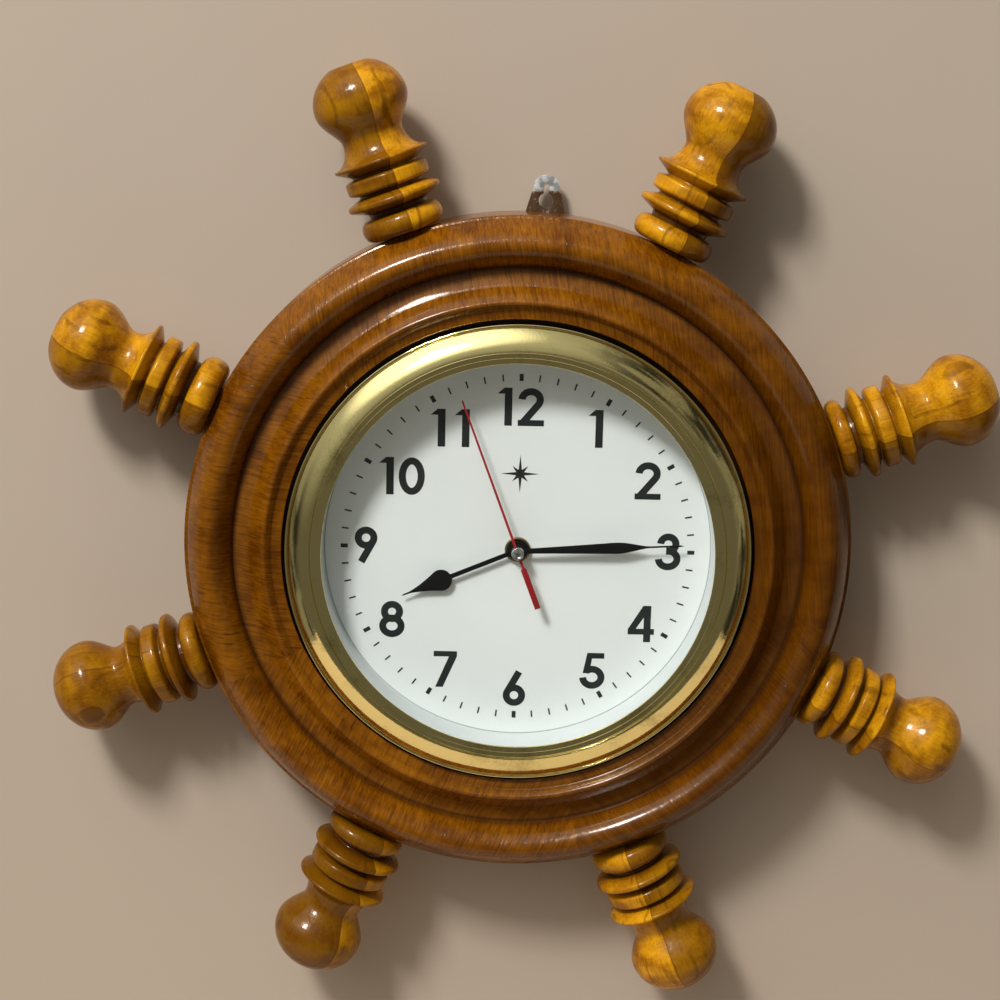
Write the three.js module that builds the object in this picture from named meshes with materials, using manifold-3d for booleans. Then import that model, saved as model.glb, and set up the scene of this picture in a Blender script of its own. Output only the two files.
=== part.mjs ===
// Ship wheel wall clock: a turned wooden wheel with eight handles round a quartz clock.
// Millimetres, +Z up. The dial faces -Y, the wall is the plane y = 0 and the wheel's axis runs along Y.
// A depth is a distance from the wall towards the viewer. The origin is where the nail carries the hanger.

import * as THREE from 'three';
import { mergeVertices } from 'three/addons/utils/BufferGeometryUtils.js';
import Module from 'manifold-3d';

const wasm = await Module();
wasm.setup();

const { PI, sin, cos, max } = Math;
const radians = THREE.MathUtils.degToRad;

// Clearances
const fitGap = 0.3; // round a piece in its hole
const seatGap = 0.05; // between two flat faces that rest on each other
const runGap = 0.3; // round a turning tube or arbor
const pressGap = 0.05; // round a tube pressed into a hub

// Clock opening, from the dial outwards
const dialWallR = 87.2; // inside of the white wall round the dial
const spacerWall = 3.5;
const ledgeWidth = 6.8; // wood that the dial board is screwed to
const spigotWall = 4; // wood inside the bezel's skirt, outside the rebate
const bezelWall = 1;
const bezelGap = 1.8; // open gap between the bezel and the wood

// Rim mouldings, from the gap outwards
const bandWidth = 4.4; // plain band beside the bezel
const innerFlankWidth = 3.1; // from the band up to the crest
const innerSlopeWidth = 6.4; // from the crest down to the arris
const coveWidth = 8.1;
const outerBeadWidth = 20.8;
const shoulderWidth = 1.3;
const backRound = 1;
const gapFloorDepth = 30;
const bandDepth = 38.6;
const bandRise = 1; // of the band's outer edge
const crestDepth = 42.5;
const crestRound = 1.15; // half the width of the rounded crest
const crestFall = 0.5; // across that half width
const arrisDepth = 36.8;
const coveDip = 1.2; // below the chord between its edges
const coveOuterDepth = 34;
const outerBeadRise = 11.4; // above the chord between its edges
const shoulderDepth = 32;
const sideDepth = 31.4;

// Handles, sizes along the handle counted from the rim
const handleCount = 8;
const firstHandleAngle = -22.5; // clockwise from the top
const handleDepth = 21.6;
const handleTurns = [0, 0, 0.2, -0.3, -0.8, 1.3, 0.35, 0.2]; // degrees off the even spacing
const handleLeans = [0, 0, 0, 2, -3.5, -2, 0, -1.2]; // degrees off the radius
const footBeadLengths = [10, 10, 7.1, 8.6, 9.8, 8.4, 8.2, 12.4]; // no two handles are quite alike
const neckLengths = [10, 9.8, 11.4, 10.4, 11.6, 11.6, 8.5, 8.9];
const tenonR = 8;
const tenonLength = 25;
const footR = 13;
const footBeadR = 18.2;
const footGrooveR = 13.2;
const footGrooveFall = 1;
const footGrooveLength = 1;
const sharpDiscR = 20.8;
const sharpDiscRise = 3;
const sharpDiscEdge = 2.2;
const sharpDiscFall = 2.6;
const midGrooveR = 14.3;
const midGrooveLength = 0.8;
const flatDiscR = 18.5;
const flatDiscSlope = 1.1;
const flatDiscEdge = 5.6;
const upperGrooveR = 14.6;
const upperGrooveLength = 0.6;
const flareR = 21;
const flareRise = 3.6;
const flareEdge = 1.2;
const neckR = 13.6;
const ballR = 20.9;
const ballRise = 15; // from the neck to the ball's widest place
const ballFullness = 0.8; // under 1 the ball swells early
const crownRise = 18; // of the ball's end, if it were not flat
const crownFlatR = 8.5;

// Bezel and glass
const lipWidth = 5; // flat band round the glass
const lipOverhang = 0.6; // how far the lip's edge stands in from the white wall
const bezelRise = 5.6; // from the bezel's outer edge to its ridge
const ridgeRise = 0.5; // of the ridge above the flat band
const bezelCrown = 1.1; // swelling of the sloping face
const bezelEdgeWidth = 1.2; // rolled edge outside that face
const spigotDrop = 3.4; // from the bezel's outer edge down to the wooden spigot
const glassThickness = 2;
const glassGap = 6.8; // in front of the second hand's cap

// Dial, its board and the nut that clamps them
const dialThickness = 0.8;
const boardThickness = 4;
const rubberThickness = 1;
const rubberR = 9;
const washerR = 5.6;
const washerThickness = 0.4;
const nutR = 5.8;
const nutThickness = 1.4;
const nutChamfer = 0.4;
const bushWall = 1.2;
const bushProud = 0.2; // of the threaded bush beyond the nut

// Hands, with the angles clockwise from the top as they stand
const handThickness = 0.5;
const hubWall = 1.8;
const hubLength = 1.4;
const hubGap = 0.4; // between one hub and the next
const hourAngle = 244.7;
const hourReach = 56.4;
const hourTaper = 18; // from the middle of its bulb to its tip
const hourBulbR = 4.9;
const hourStemHalf = 1.05;
const minuteAngle = 84.6;
const minuteTipGap = 12.6; // to the white wall
const minuteNeedle = 10.6;
const minuteNeedleHalf = 0.55;
const minuteTaper = 14; // from its widest place to its needle
const minuteWideHalf = 2.5;
const minuteStemHalf = 0.9;
const secondAngle = 337;
const secondTipGap = 13.8; // to the white wall
const secondNeedleHalf = 0.45;
const paddleAt = 8;
const paddleLength = 19.2;
const paddleHalf = 1.2;
const capR = 2.8;
const capLength = 4;
const secondNeedleAt = 1.6; // from the back of the second hand's cap to its needle

// Concentric tubes and arbors of the movement
const secondArborR = 0.5;
const minuteTubeWall = 0.7;
const hourTubeWall = 0.7;
const arborR = 0.5;
const knobArborR = 1.2;
const pivotDepth = 0.5; // of an arbor's end in its wall
const pivotEndGap = 0.3;

// Wheels of the movement: tooth counts, with pitch radii worked out from the hour wheel
const hourWheelR = 9.6;
const hourTeeth = 32;
const motionPinionTeeth = 8;
const motionTeeth = 30;
const cannonTeeth = 10;
const knobTeeth = 10;
const thirdTeeth = 48;
const secondPinionTeeth = 6;
const centreTeeth = 45;
const thirdPinionTeeth = 6;
const secondTeeth = 40;
const reductionPinionTeeth = 8;
const reductionTeeth = 36;
const rotorTeeth = 6;
const rotorSpan = 9.45; // from the reduction wheel's arbor to the rotor's
const arborGap = 0.68; // between an arbor and the wheel beside it
const trainSpread = 72; // degrees between neighbouring arbors round the centre
const knobAngle = 100;
const rotorAngle = 10;
const toothAddendum = 0.65; // in modules
const toothDedendum = 1.45;
const toothTipShare = 0.05; // half the width of a tooth's tip, in tooth pitches
const wheelThickness = 1.1;
const wheelGap = 0.6; // between one layer of wheels and the next
const endRoom = 1.3; // between the wheels and the case at each end

// Movement case, battery and setting knob
const caseWall = 1.2;
const caseFrontWall = 1.5;
const coverWall = 1.5;
const bayGap = 0.3;
const batteryR = 7.25;
const batteryLength = 49.5;
const batteryNubR = 2.75;
const batteryNub = 1;
const contactRoom = 1.75;
const contactPlate = 0.5;
const contactWidth = 7;
const contactHeight = 8;
const knobR = 6.5;
const knobThickness = 4;
const knobRibs = 12;
const knobRibDepth = 0.5;
const wallRoom = 0.9; // between the knob and the wall

// Motor and circuit
const magnetR = 3;
const magnetThickness = 3;
const statorThickness = 1;
const statorAirGap = 0.4;
const statorRing = 1.8;
const statorLeg = 2;
const coilR = 3.5;
const coilLength = 8.4;
const coilFlange = 0.8;
const coilWindingR = 3.1;
const coilRise = 13; // from the rotor's axis to the coil's
const coreHalf = 0.8;
const postR = 0.9;
const boardWidth = 9.5;
const boardHeight = 20;
const circuitThickness = 1.2;
const circuitDrop = 8; // of the circuit's lower edge below the centre
const postInset = 1.8;
const crystalR = 1;
const crystalLength = 6;

// Hanger and screws
const hangerShift = 3.2; // to the right of the wheel's axis
const hangerThickness = 1.5;
const hangerSet = 0.1; // below the rim's back
const hangerHalfWidth = 8.6;
const hangerTopR = 6;
const hangerRise = 16.2; // above the rim
const hangerTail = 30; // down behind the rim
const keyholeR = 3.3;
const keyholeRise = 4.9; // of the wide hole's centre above the rim
const slotR = 1.2;
const nailRise = 10.8; // of the slot's round end above the rim
const hangerScrewDrops = [9, 21]; // below the rim's edge
const screwR = 1.6;
const screwHeadR = 3.2;
const screwHead = 1.6;
const screwPoint = 2.5;
const boardScrewLength = 12;
const hangerScrewLength = 14;
const boardScrewAngles = [45, 135, 225, 315];

// Smoothness of the round surfaces
const wheelSides = 56;
const handleSides = 16;
const discSides = 40;
const tubeSides = 16;
const smallSides = 8;
const arcSteps = 6;
const neckSteps = 3;
const faceSteps = 5;
const coveSteps = 3;

// Radii worked out from the dial
const spacerR = dialWallR + spacerWall;
const boreR = spacerR + fitGap;
const rebateR = boreR + ledgeWidth;
const boardR = rebateR - fitGap;
const spigotR = rebateR + spigotWall;
const skirtR = spigotR + fitGap;
const bezelR = skirtR + bezelWall;
const faceR = bezelR - bezelEdgeWidth;
const bandR = bezelR + bezelGap;
const flankR = bandR + bandWidth;
const crestR = flankR + innerFlankWidth;
const arrisR = crestR + innerSlopeWidth;
const coveOuterR = arrisR + coveWidth;
const shoulderR = coveOuterR + outerBeadWidth;
const rimR = shoulderR + shoulderWidth;
const lipR = dialWallR - lipOverhang;
const ridgeR = lipR + lipWidth;
const glassR = ridgeR - fitGap;

// Tube radii, from the second hand's arbor outwards
const minuteBoreR = secondArborR + runGap;
const minuteTubeR = minuteBoreR + minuteTubeWall;
const hourBoreR = minuteTubeR + runGap;
const hourTubeR = hourBoreR + hourTubeWall;
const bushBoreR = hourTubeR + runGap;
const bushR = bushBoreR + bushWall;
const bushHoleR = bushR + fitGap;

// Depths, from the wall forwards
const layerPitch = wheelThickness + wheelGap;
const layerCount = 6;
const coverBack = wallRoom + knobThickness + runGap;
const coverFront = coverBack + coverWall;
const caseBack = coverFront + seatGap;
const caseInside = coverFront + layerCount * layerPitch + 2 * endRoom;
const caseFront = caseInside + caseFrontWall;
const rubberBack = caseFront + seatGap;
const rubberFront = rubberBack + rubberThickness;
const boardBack = rubberFront + seatGap;
const boardFront = boardBack + boardThickness;
const ledgeDepth = boardFront + seatGap;
const dialFront = ledgeDepth + dialThickness;
const washerBack = dialFront + seatGap;
const washerFront = washerBack + washerThickness;
const nutBack = washerFront + seatGap;
const nutFront = nutBack + nutThickness;
const bushFront = nutFront + bushProud;
const hourHubBack = bushFront + hubGap;
const hourHubFront = hourHubBack + hubLength;
const minuteHubBack = hourHubFront + hubGap;
const minuteHubFront = minuteHubBack + hubLength;
const capBack = minuteHubFront + hubGap;
const capFront = capBack + capLength;
const spacerBack = dialFront + seatGap;
const glassBack = capFront + glassGap;
const spacerFront = glassBack - seatGap;
const glassFront = glassBack + glassThickness;
const lipBack = glassFront + seatGap;
const lipFront = lipBack + bezelWall;
const ridgeDepth = lipFront + ridgeRise;
const bezelEdgeDepth = ridgeDepth - bezelRise;
const spigotDepth = bezelEdgeDepth - spigotDrop;

// Layers of wheels, from the dial side back: 0 hour, 1 motion, 2 centre, 3 third, 4 second, 5 reduction
const layerFront = (layer) => caseInside - endRoom - layer * layerPitch;
const layerBack = (layer) => layerFront(layer) - wheelThickness;

// Gear layout in X and Z round the centre arbor
const polar = (span, degrees) => {
  const angle = radians(degrees);
  return new THREE.Vector2(span * cos(angle), span * sin(angle));
};
const tipRadius = (teeth, pitchR) => pitchR + (toothAddendum * 2 * pitchR) / teeth;
const centreAt = new THREE.Vector2(0, 0);
const thirdAngle = 90;
const motionSpan = (hourWheelR * (hourTeeth + motionPinionTeeth)) / hourTeeth;
const trainSpan = tipRadius(hourTeeth, hourWheelR) + arborR + arborGap;
const motionAt = polar(motionSpan, thirdAngle + trainSpread);
const thirdAt = polar(trainSpan, thirdAngle);
const reductionAt = polar(trainSpan, thirdAngle - trainSpread);
const rotorAt = polar(rotorSpan, rotorAngle).add(reductionAt);
const motionWheelR = (motionSpan * motionTeeth) / (motionTeeth + cannonTeeth);
const knobPinionR = (motionWheelR * knobTeeth) / motionTeeth;
const knobAt = polar(motionWheelR + knobPinionR, knobAngle).add(motionAt);

// Case walls round the wheels and the battery
const hourTipR = tipRadius(hourTeeth, hourWheelR);
const statorHalf = coilLength / 2 + statorLeg + bayGap;
const insideHalf = max(batteryLength / 2 + contactRoom, rotorAt.x + statorHalf + fitGap);
const caseHalf = insideHalf + caseWall;
const bayTop = -(hourTipR + arborGap + caseWall);
const batteryZ = bayTop - bayGap - batteryR;
const bayBottom = batteryZ - batteryR - bayGap;
const coilZ = rotorAt.y + coilRise;
const insideTop = max(knobAt.y + tipRadius(knobTeeth, knobPinionR), coilZ + coilR) + fitGap;
const batteryDepth = caseInside - bayGap - batteryR;

const hangerTop = rimR + hangerRise;
const nailZ = rimR + nailRise;

// Finishes, one material for each piece
const finishes = {
  rimWood: { color: 0x9a5f1e, roughness: 0.25, metalness: 0 },
  handleWood: { color: 0xb8791f, roughness: 0.25, metalness: 0 },
  brass: { color: 0xc9ad5a, roughness: 0.15, metalness: 1 },
  glass: { color: 0xe8f0ee, roughness: 0.03, metalness: 0, transparent: true, opacity: 0.15 },
  white: { color: 0xe9ebe8, roughness: 0.5, metalness: 0 },
  fibreBoard: { color: 0x8a6a45, roughness: 0.8, metalness: 0 },
  blackHand: { color: 0x101010, roughness: 0.4, metalness: 0.2 },
  redHand: { color: 0xb5161f, roughness: 0.4, metalness: 0 },
  blackPlastic: { color: 0x1b1b1c, roughness: 0.5, metalness: 0 },
  whitePlastic: { color: 0xdedfda, roughness: 0.45, metalness: 0 },
  rubber: { color: 0x202020, roughness: 0.9, metalness: 0 },
  steel: { color: 0x9aa09c, roughness: 0.35, metalness: 1 },
  circuit: { color: 0x2c6b3a, roughness: 0.6, metalness: 0 },
  copper: { color: 0xa8552a, roughness: 0.4, metalness: 0.6 },
  battery: { color: 0x303238, roughness: 0.35, metalness: 0.3 },
};

// A geometry with its shared corners merged and its empty triangles dropped
function welded(geometry) {
  geometry.deleteAttribute('normal');
  geometry.deleteAttribute('uv');
  const merged = mergeVertices(geometry);
  const corners = merged.index.array;
  const kept = [];
  for (let i = 0; i < corners.length; i += 3) {
    const [a, b, c] = corners.slice(i, i + 3);
    if (a !== b && b !== c && c !== a) kept.push(a, b, c);
  }
  merged.setIndex(kept);
  merged.clearGroups();
  return merged;
}

function solidOf(geometry) {
  const vertProperties = Float32Array.from(geometry.attributes.position.array);
  const triVerts = Uint32Array.from(geometry.index.array);
  return new wasm.Manifold(new wasm.Mesh({ numProp: 3, vertProperties, triVerts }));
}

function geometryOf(solid) {
  const mesh = solid.getMesh();
  const geometry = new THREE.BufferGeometry();
  geometry.setAttribute('position', new THREE.BufferAttribute(Float32Array.from(mesh.vertProperties), 3));
  geometry.setIndex(new THREE.BufferAttribute(Uint32Array.from(mesh.triVerts), 1));
  return geometry;
}

function joined(first, ...others) {
  return geometryOf(others.reduce((solid, other) => solid.add(solidOf(other)), solidOf(first)));
}

function cut(first, ...others) {
  return geometryOf(others.reduce((solid, other) => solid.subtract(solidOf(other)), solidOf(first)));
}

// A profile of [radius, height] points turned about Y, closed on itself or along the axis
function lathed(profile, sides) {
  const points = profile.map(([r, y]) => new THREE.Vector2(r, y));
  if (THREE.ShapeUtils.isClockWise(points)) points.reverse();
  if (points[0].x > 0) points.push(points[0].clone());
  return welded(new THREE.LatheGeometry(points, sides));
}

// A profile of [radius, depth] points turned about the wheel's axis, or an axis beside it
function turned(profile, sides, at = centreAt) {
  const geometry = lathed(profile.map(([r, depth]) => [r, -depth]), sides);
  return geometry.translate(at.x, 0, at.y);
}

const rod = (r, back, front, sides, at) => turned([[0, back], [r, back], [r, front], [0, front]], sides, at);

const tube = (inner, outer, back, front, sides, at) =>
  turned([[inner, back], [outer, back], [outer, front], [inner, front]], sides, at);

// A flat outline in X and Z, between two depths
function plate(shape, back, front, at = centreAt) {
  const geometry = new THREE.ExtrudeGeometry(shape, {
    depth: front - back,
    bevelEnabled: false,
    curveSegments: arcSteps,
  });
  geometry.rotateX(PI / 2);
  geometry.translate(at.x, -back, at.y);
  return welded(geometry);
}

function block(left, right, back, front, bottom, top) {
  const geometry = new THREE.BoxGeometry(right - left, front - back, top - bottom);
  geometry.translate((left + right) / 2, -(back + front) / 2, (bottom + top) / 2);
  return welded(geometry);
}

// Points of a moulding between two [radius, depth] ends, a parabola that swells or dips by rise at its middle
function moulding([r0, d0], [r1, d1], rise, steps) {
  return Array.from({ length: steps + 1 }, (_, i) => {
    const share = i / steps;
    const swell = rise * (1 - (2 * share - 1) ** 2);
    return [r0 + (r1 - r0) * share, d0 + (d1 - d0) * share + swell];
  });
}

// Spur wheel with straight-sided teeth, one of them centred on the angle phase
function gearShape(teeth, pitchR, phase) {
  const toothPitch = (2 * PI) / teeth;
  const toothModule = (2 * pitchR) / teeth;
  const tipR = pitchR + toothAddendum * toothModule;
  const rootR = pitchR - toothDedendum * toothModule;
  const midGap = 0.5;
  const corners = [[tipR, -toothTipShare], [tipR, toothTipShare], [rootR, midGap]];
  const points = [];
  for (let tooth = 0; tooth < teeth; tooth++) {
    for (const [r, share] of corners) {
      const angle = phase + (tooth + share) * toothPitch;
      points.push(new THREE.Vector2(r * cos(angle), r * sin(angle)));
    }
  }
  return new THREE.Shape(points);
}

function gear(teeth, pitchR, phase, layer, at) {
  return plate(gearShape(teeth, pitchR, phase), layerBack(layer), layerFront(layer), at);
}

// Angle of a tooth on wheel b that lies in mesh with wheel a, whose own tooth stands at phaseA
function meshPhase(atA, pitchA, phaseA, atB, pitchB, teethB) {
  const line = atB.clone().sub(atA).angle();
  const offset = (line - phaseA) * pitchA;
  return line + PI + offset / pitchB + PI / teethB;
}

const clock = new THREE.Group();
clock.position.set(-hangerShift, 0, -nailZ);

function addPiece(name, geometry, finish, parent = clock) {
  geometry.computeVertexNormals();
  const mesh = new THREE.Mesh(geometry, new THREE.MeshStandardMaterial(finishes[finish]));
  mesh.name = name;
  parent.add(mesh);
}

// Handles: each turned part and its socket stand on their own axis, placed round the rim
function handleProfile(i) {
  const beadLength = footBeadLengths[i % footBeadLengths.length];
  const neckLength = neckLengths[i % neckLengths.length];
  const bead = Array.from({ length: coveSteps + 1 }, (_, k) => {
    const angle = (PI * k) / coveSteps;
    return [footR + (footBeadR - footR) * sin(angle), (beadLength * (1 - cos(angle))) / 2];
  });
  let along = beadLength;
  const onward = (r, run) => {
    along += run;
    return [r, along];
  };
  const grip = [
    onward(footGrooveR, footGrooveFall), onward(footGrooveR, footGrooveLength),
    onward(sharpDiscR, sharpDiscRise), onward(sharpDiscR, sharpDiscEdge),
    onward(midGrooveR, sharpDiscFall), onward(midGrooveR, midGrooveLength),
    onward(flatDiscR, flatDiscSlope), onward(flatDiscR, flatDiscEdge),
    onward(upperGrooveR, flatDiscSlope), onward(upperGrooveR, upperGrooveLength),
    onward(flareR, flareRise), onward(flareR, flareEdge),
  ];
  const hollow = Array.from({ length: neckSteps }, (_, k) => {
    const angle = (PI / 2) * ((k + 1) / (neckSteps + 1));
    return [flareR + (neckR - flareR) * sin(angle), along + neckLength * (1 - cos(angle))];
  });
  const neckAt = along + neckLength;
  const swell = Array.from({ length: arcSteps }, (_, k) => {
    const share = k / (arcSteps - 1);
    const size = (1 - cos(PI * share ** ballFullness)) / 2;
    return [neckR + (ballR - neckR) * size, neckAt + ballRise * share];
  });
  const flatAngle = Math.acos(crownFlatR / ballR);
  const crown = Array.from({ length: neckSteps }, (_, k) => {
    const angle = (flatAngle * (k + 1)) / neckSteps;
    return [ballR * cos(angle), neckAt + ballRise + crownRise * sin(angle)];
  });
  const tip = neckAt + ballRise + crownRise * sin(flatAngle);
  const tenon = [[0, -tenonLength], [tenonR, -tenonLength], [tenonR, 0]];
  return [...tenon, ...bead, ...grip, ...hollow, ...swell, ...crown, [0, tip]];
}

function handleGroup(i) {
  const spoke = new THREE.Group();
  const step = 360 / handleCount;
  const turn = handleTurns[i % handleTurns.length];
  const lean = handleLeans[i % handleLeans.length];
  spoke.rotation.y = radians(firstHandleAngle + i * step + turn);
  const seat = new THREE.Group();
  seat.position.set(0, -handleDepth, rimR + fitGap);
  seat.rotation.set(0, radians(lean), 0);
  spoke.add(seat);
  return { spoke, seat };
}

// A turned profile along local Z, as the handles stand on the rim
function alongZ(profile, sides) {
  const geometry = lathed(profile, sides);
  return geometry.rotateX(PI / 2);
}

function addHandles() {
  for (let i = 0; i < handleCount; i++) {
    const { spoke, seat } = handleGroup(i);
    addPiece(`handle_${i + 1}`, alongZ(handleProfile(i), handleSides), 'handleWood', seat);
    clock.add(spoke);
  }
}

function handleSocket(i) {
  const { spoke, seat } = handleGroup(i);
  spoke.updateMatrixWorld(true);
  const r = tenonR + fitGap;
  const mouth = tenonR;
  const floor = -(tenonLength + fitGap);
  const geometry = alongZ([[0, floor], [r, floor], [r, mouth], [0, mouth]], handleSides);
  return geometry.applyMatrix4(seat.matrixWorld);
}

// Wood screw with a flat head, from the back of its head forwards
function screw(head, length, at, clearance = 0) {
  const shank = screwR + clearance;
  const rise = screwHeadR + clearance;
  return turned([
    [0, head - clearance], [rise, head - clearance], [rise, head], [shank, head + screwHead],
    [shank, head + length - screwPoint], [0, head + length + clearance],
  ], smallSides, at);
}

// The screws themselves, or the holes for them when a clearance is given
function boardScrews(clearance) {
  const circleR = (boreR + rebateR) / 2;
  return boardScrewAngles.map((degrees) => {
    const at = polar(circleR, degrees);
    return screw(boardBack, boardScrewLength, at, clearance);
  });
}

function hangerScrews(clearance) {
  return hangerScrewDrops.map((drop) => {
    const at = new THREE.Vector2(hangerShift, rimR - drop);
    return screw(hangerSet, hangerScrewLength, at, clearance);
  });
}

function addRim() {
  const profile = [
    [rebateR, 0], [rimR - backRound, 0], [rimR, backRound], [rimR, sideDepth],
    ...moulding([shoulderR, shoulderDepth], [coveOuterR, coveOuterDepth], outerBeadRise, arcSteps),
    ...moulding([coveOuterR, coveOuterDepth], [arrisR, arrisDepth], -coveDip, coveSteps).slice(1),
    [crestR + crestRound, crestDepth - crestFall], [crestR, crestDepth],
    [crestR - crestRound, crestDepth - crestFall],
    [flankR, bandDepth + bandRise], [bandR, bandDepth],
    [bandR, gapFloorDepth], [spigotR, gapFloorDepth], [spigotR, spigotDepth],
    [boreR, spigotDepth], [boreR, ledgeDepth], [rebateR, ledgeDepth],
  ];
  const sockets = Array.from({ length: handleCount }, (_, i) => handleSocket(i));
  const pocketDepth = hangerSet + hangerThickness + fitGap;
  const pocket = block(
    hangerShift - hangerHalfWidth - fitGap, hangerShift + hangerHalfWidth + fitGap,
    -backRound, pocketDepth, rimR - hangerTail - fitGap, hangerTop,
  );
  const holes = [...sockets, pocket, ...boardScrews(fitGap), ...hangerScrews(fitGap)];
  addPiece('wheel_rim', cut(turned(profile, wheelSides), ...holes), 'rimWood');
}

function addHanger() {
  const shape = new THREE.Shape();
  const topCentre = hangerTop - hangerTopR;
  const tail = rimR - hangerTail;
  shape.moveTo(-hangerHalfWidth, tail);
  shape.lineTo(hangerHalfWidth, tail);
  shape.lineTo(hangerHalfWidth, rimR);
  shape.absarc(0, topCentre, hangerTopR, 0, PI, false);
  shape.lineTo(-hangerHalfWidth, rimR);
  const keyhole = new THREE.Path();
  const keyholeZ = rimR + keyholeRise;
  const corner = Math.asin(slotR / keyholeR);
  keyhole.absarc(0, nailZ, slotR, 0, PI, false);
  keyhole.absarc(0, keyholeZ, keyholeR, PI / 2 + corner, (5 * PI) / 2 - corner, false);
  shape.holes.push(keyhole);
  const tab = plate(shape, hangerSet, hangerSet + hangerThickness, new THREE.Vector2(hangerShift, 0));
  addPiece('hanger_tab', cut(tab, ...hangerScrews(fitGap)), 'steel');
  hangerScrews().forEach((geometry, i) => addPiece(`hanger_screw_${i + 1}`, geometry, 'steel'));
}

function addBezelAndGlass() {
  const outer = moulding([faceR, bezelEdgeDepth], [ridgeR, ridgeDepth], bezelCrown, faceSteps);
  const inner = moulding([ridgeR, lipBack], [skirtR, bezelEdgeDepth - bezelWall], bezelCrown, faceSteps);
  const skirtBack = gapFloorDepth + seatGap;
  const profile = [
    [skirtR, skirtBack], [bezelR, skirtBack], [bezelR, bezelEdgeDepth], ...outer,
    [ridgeR - ridgeRise, lipFront], [lipR, lipFront], [lipR, lipBack], ...inner,
  ];
  addPiece('bezel', turned(profile, wheelSides), 'brass');
  addPiece('glass', rod(glassR, glassBack, glassFront, discSides), 'glass');
  addPiece('spacer_ring', tube(dialWallR, spacerR, spacerBack, spacerFront, discSides), 'white');
}

function addDial() {
  addPiece('dial', tube(bushHoleR, spacerR, ledgeDepth, dialFront, discSides), 'white');
  const board = tube(bushHoleR, boardR, boardBack, boardFront, discSides);
  addPiece('dial_board', cut(board, ...boardScrews(fitGap)), 'fibreBoard');
  boardScrews().forEach((geometry, i) => addPiece(`board_screw_${i + 1}`, geometry, 'steel'));
  addPiece('rubber_washer', tube(bushHoleR, rubberR, rubberBack, rubberFront, tubeSides), 'rubber');
  addPiece('dial_washer', tube(bushHoleR, washerR, washerBack, washerFront, tubeSides), 'brass');
  addPiece('shaft_nut', turned([
    [bushHoleR, nutBack], [nutR, nutBack], [nutR, nutFront - nutChamfer], [nutR - nutChamfer, nutFront],
    [bushHoleR, nutFront],
  ], tubeSides), 'brass');
}

// A hand drawn pointing up from its hub, half of its outline as [half width, reach] points
function handShape(half) {
  const right = half.map(([x, z]) => new THREE.Vector2(x, z));
  const left = half.filter(([x]) => x > 0).map(([x, z]) => new THREE.Vector2(-x, z)).reverse();
  return new THREE.Shape([...right, ...left]);
}

// Turns a hand clockwise to where it stands
function standing(geometry, degrees) {
  return geometry.rotateY(radians(degrees));
}

function addHourHand() {
  const hubR = hourTubeR + hubWall;
  const bulbAt = hourReach - hourTaper;
  const bulbStart = Math.asin(hourStemHalf / hourBulbR);
  const bulbEnd = PI - Math.acos(hourBulbR / hourTaper);
  const bulb = Array.from({ length: arcSteps }, (_, i) => {
    const angle = bulbStart + ((bulbEnd - bulbStart) * i) / (arcSteps - 1);
    return [hourBulbR * sin(angle), bulbAt - hourBulbR * cos(angle)];
  });
  const outline = [[hourStemHalf, 0], ...bulb, [0, hourReach]];
  const blade = plate(handShape(outline), hourHubBack, hourHubBack + handThickness);
  const hub = rod(hubR, hourHubBack, hourHubFront, tubeSides);
  const bore = rod(hourTubeR + pressGap, hourHubBack - hubGap, hourHubFront + hubGap, tubeSides);
  addPiece('hour_hand', standing(cut(joined(blade, hub), bore), hourAngle), 'blackHand');
}

function addMinuteHand() {
  const hubR = minuteTubeR + hubWall;
  const tip = dialWallR - minuteTipGap;
  const needleAt = tip - minuteNeedle;
  const outline = [
    [minuteStemHalf, 0], [minuteWideHalf, needleAt - minuteTaper], [minuteNeedleHalf, needleAt], [0, tip],
  ];
  const blade = plate(handShape(outline), minuteHubBack, minuteHubBack + handThickness);
  const hub = rod(hubR, minuteHubBack, minuteHubFront, tubeSides);
  const bore = rod(minuteTubeR + pressGap, minuteHubBack - hubGap, minuteHubFront + hubGap, tubeSides);
  addPiece('minute_hand', standing(cut(joined(blade, hub), bore), minuteAngle), 'blackHand');
}

function addSecondHand() {
  const outline = [
    [paddleHalf, -paddleAt - paddleLength], [paddleHalf, -paddleAt], [secondNeedleHalf, -paddleAt],
    [secondNeedleHalf, 0], [0, dialWallR - secondTipGap],
  ];
  const needleBack = capBack + secondNeedleAt;
  const blade = plate(handShape(outline), needleBack, needleBack + handThickness);
  const cap = rod(capR, capBack, capFront, tubeSides);
  const bore = rod(secondArborR + pressGap, capBack - hubGap, needleBack, tubeSides);
  addPiece('second_hand', standing(cut(joined(blade, cap), bore), secondAngle), 'redHand');
}

// Arbor between its two pivots in the front wall and the cover
const arborBack = coverFront - pivotDepth;
const arborFront = caseInside + pivotDepth;
const arbor = (r, at) => rod(r, arborBack, arborFront, smallSides, at);

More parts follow.
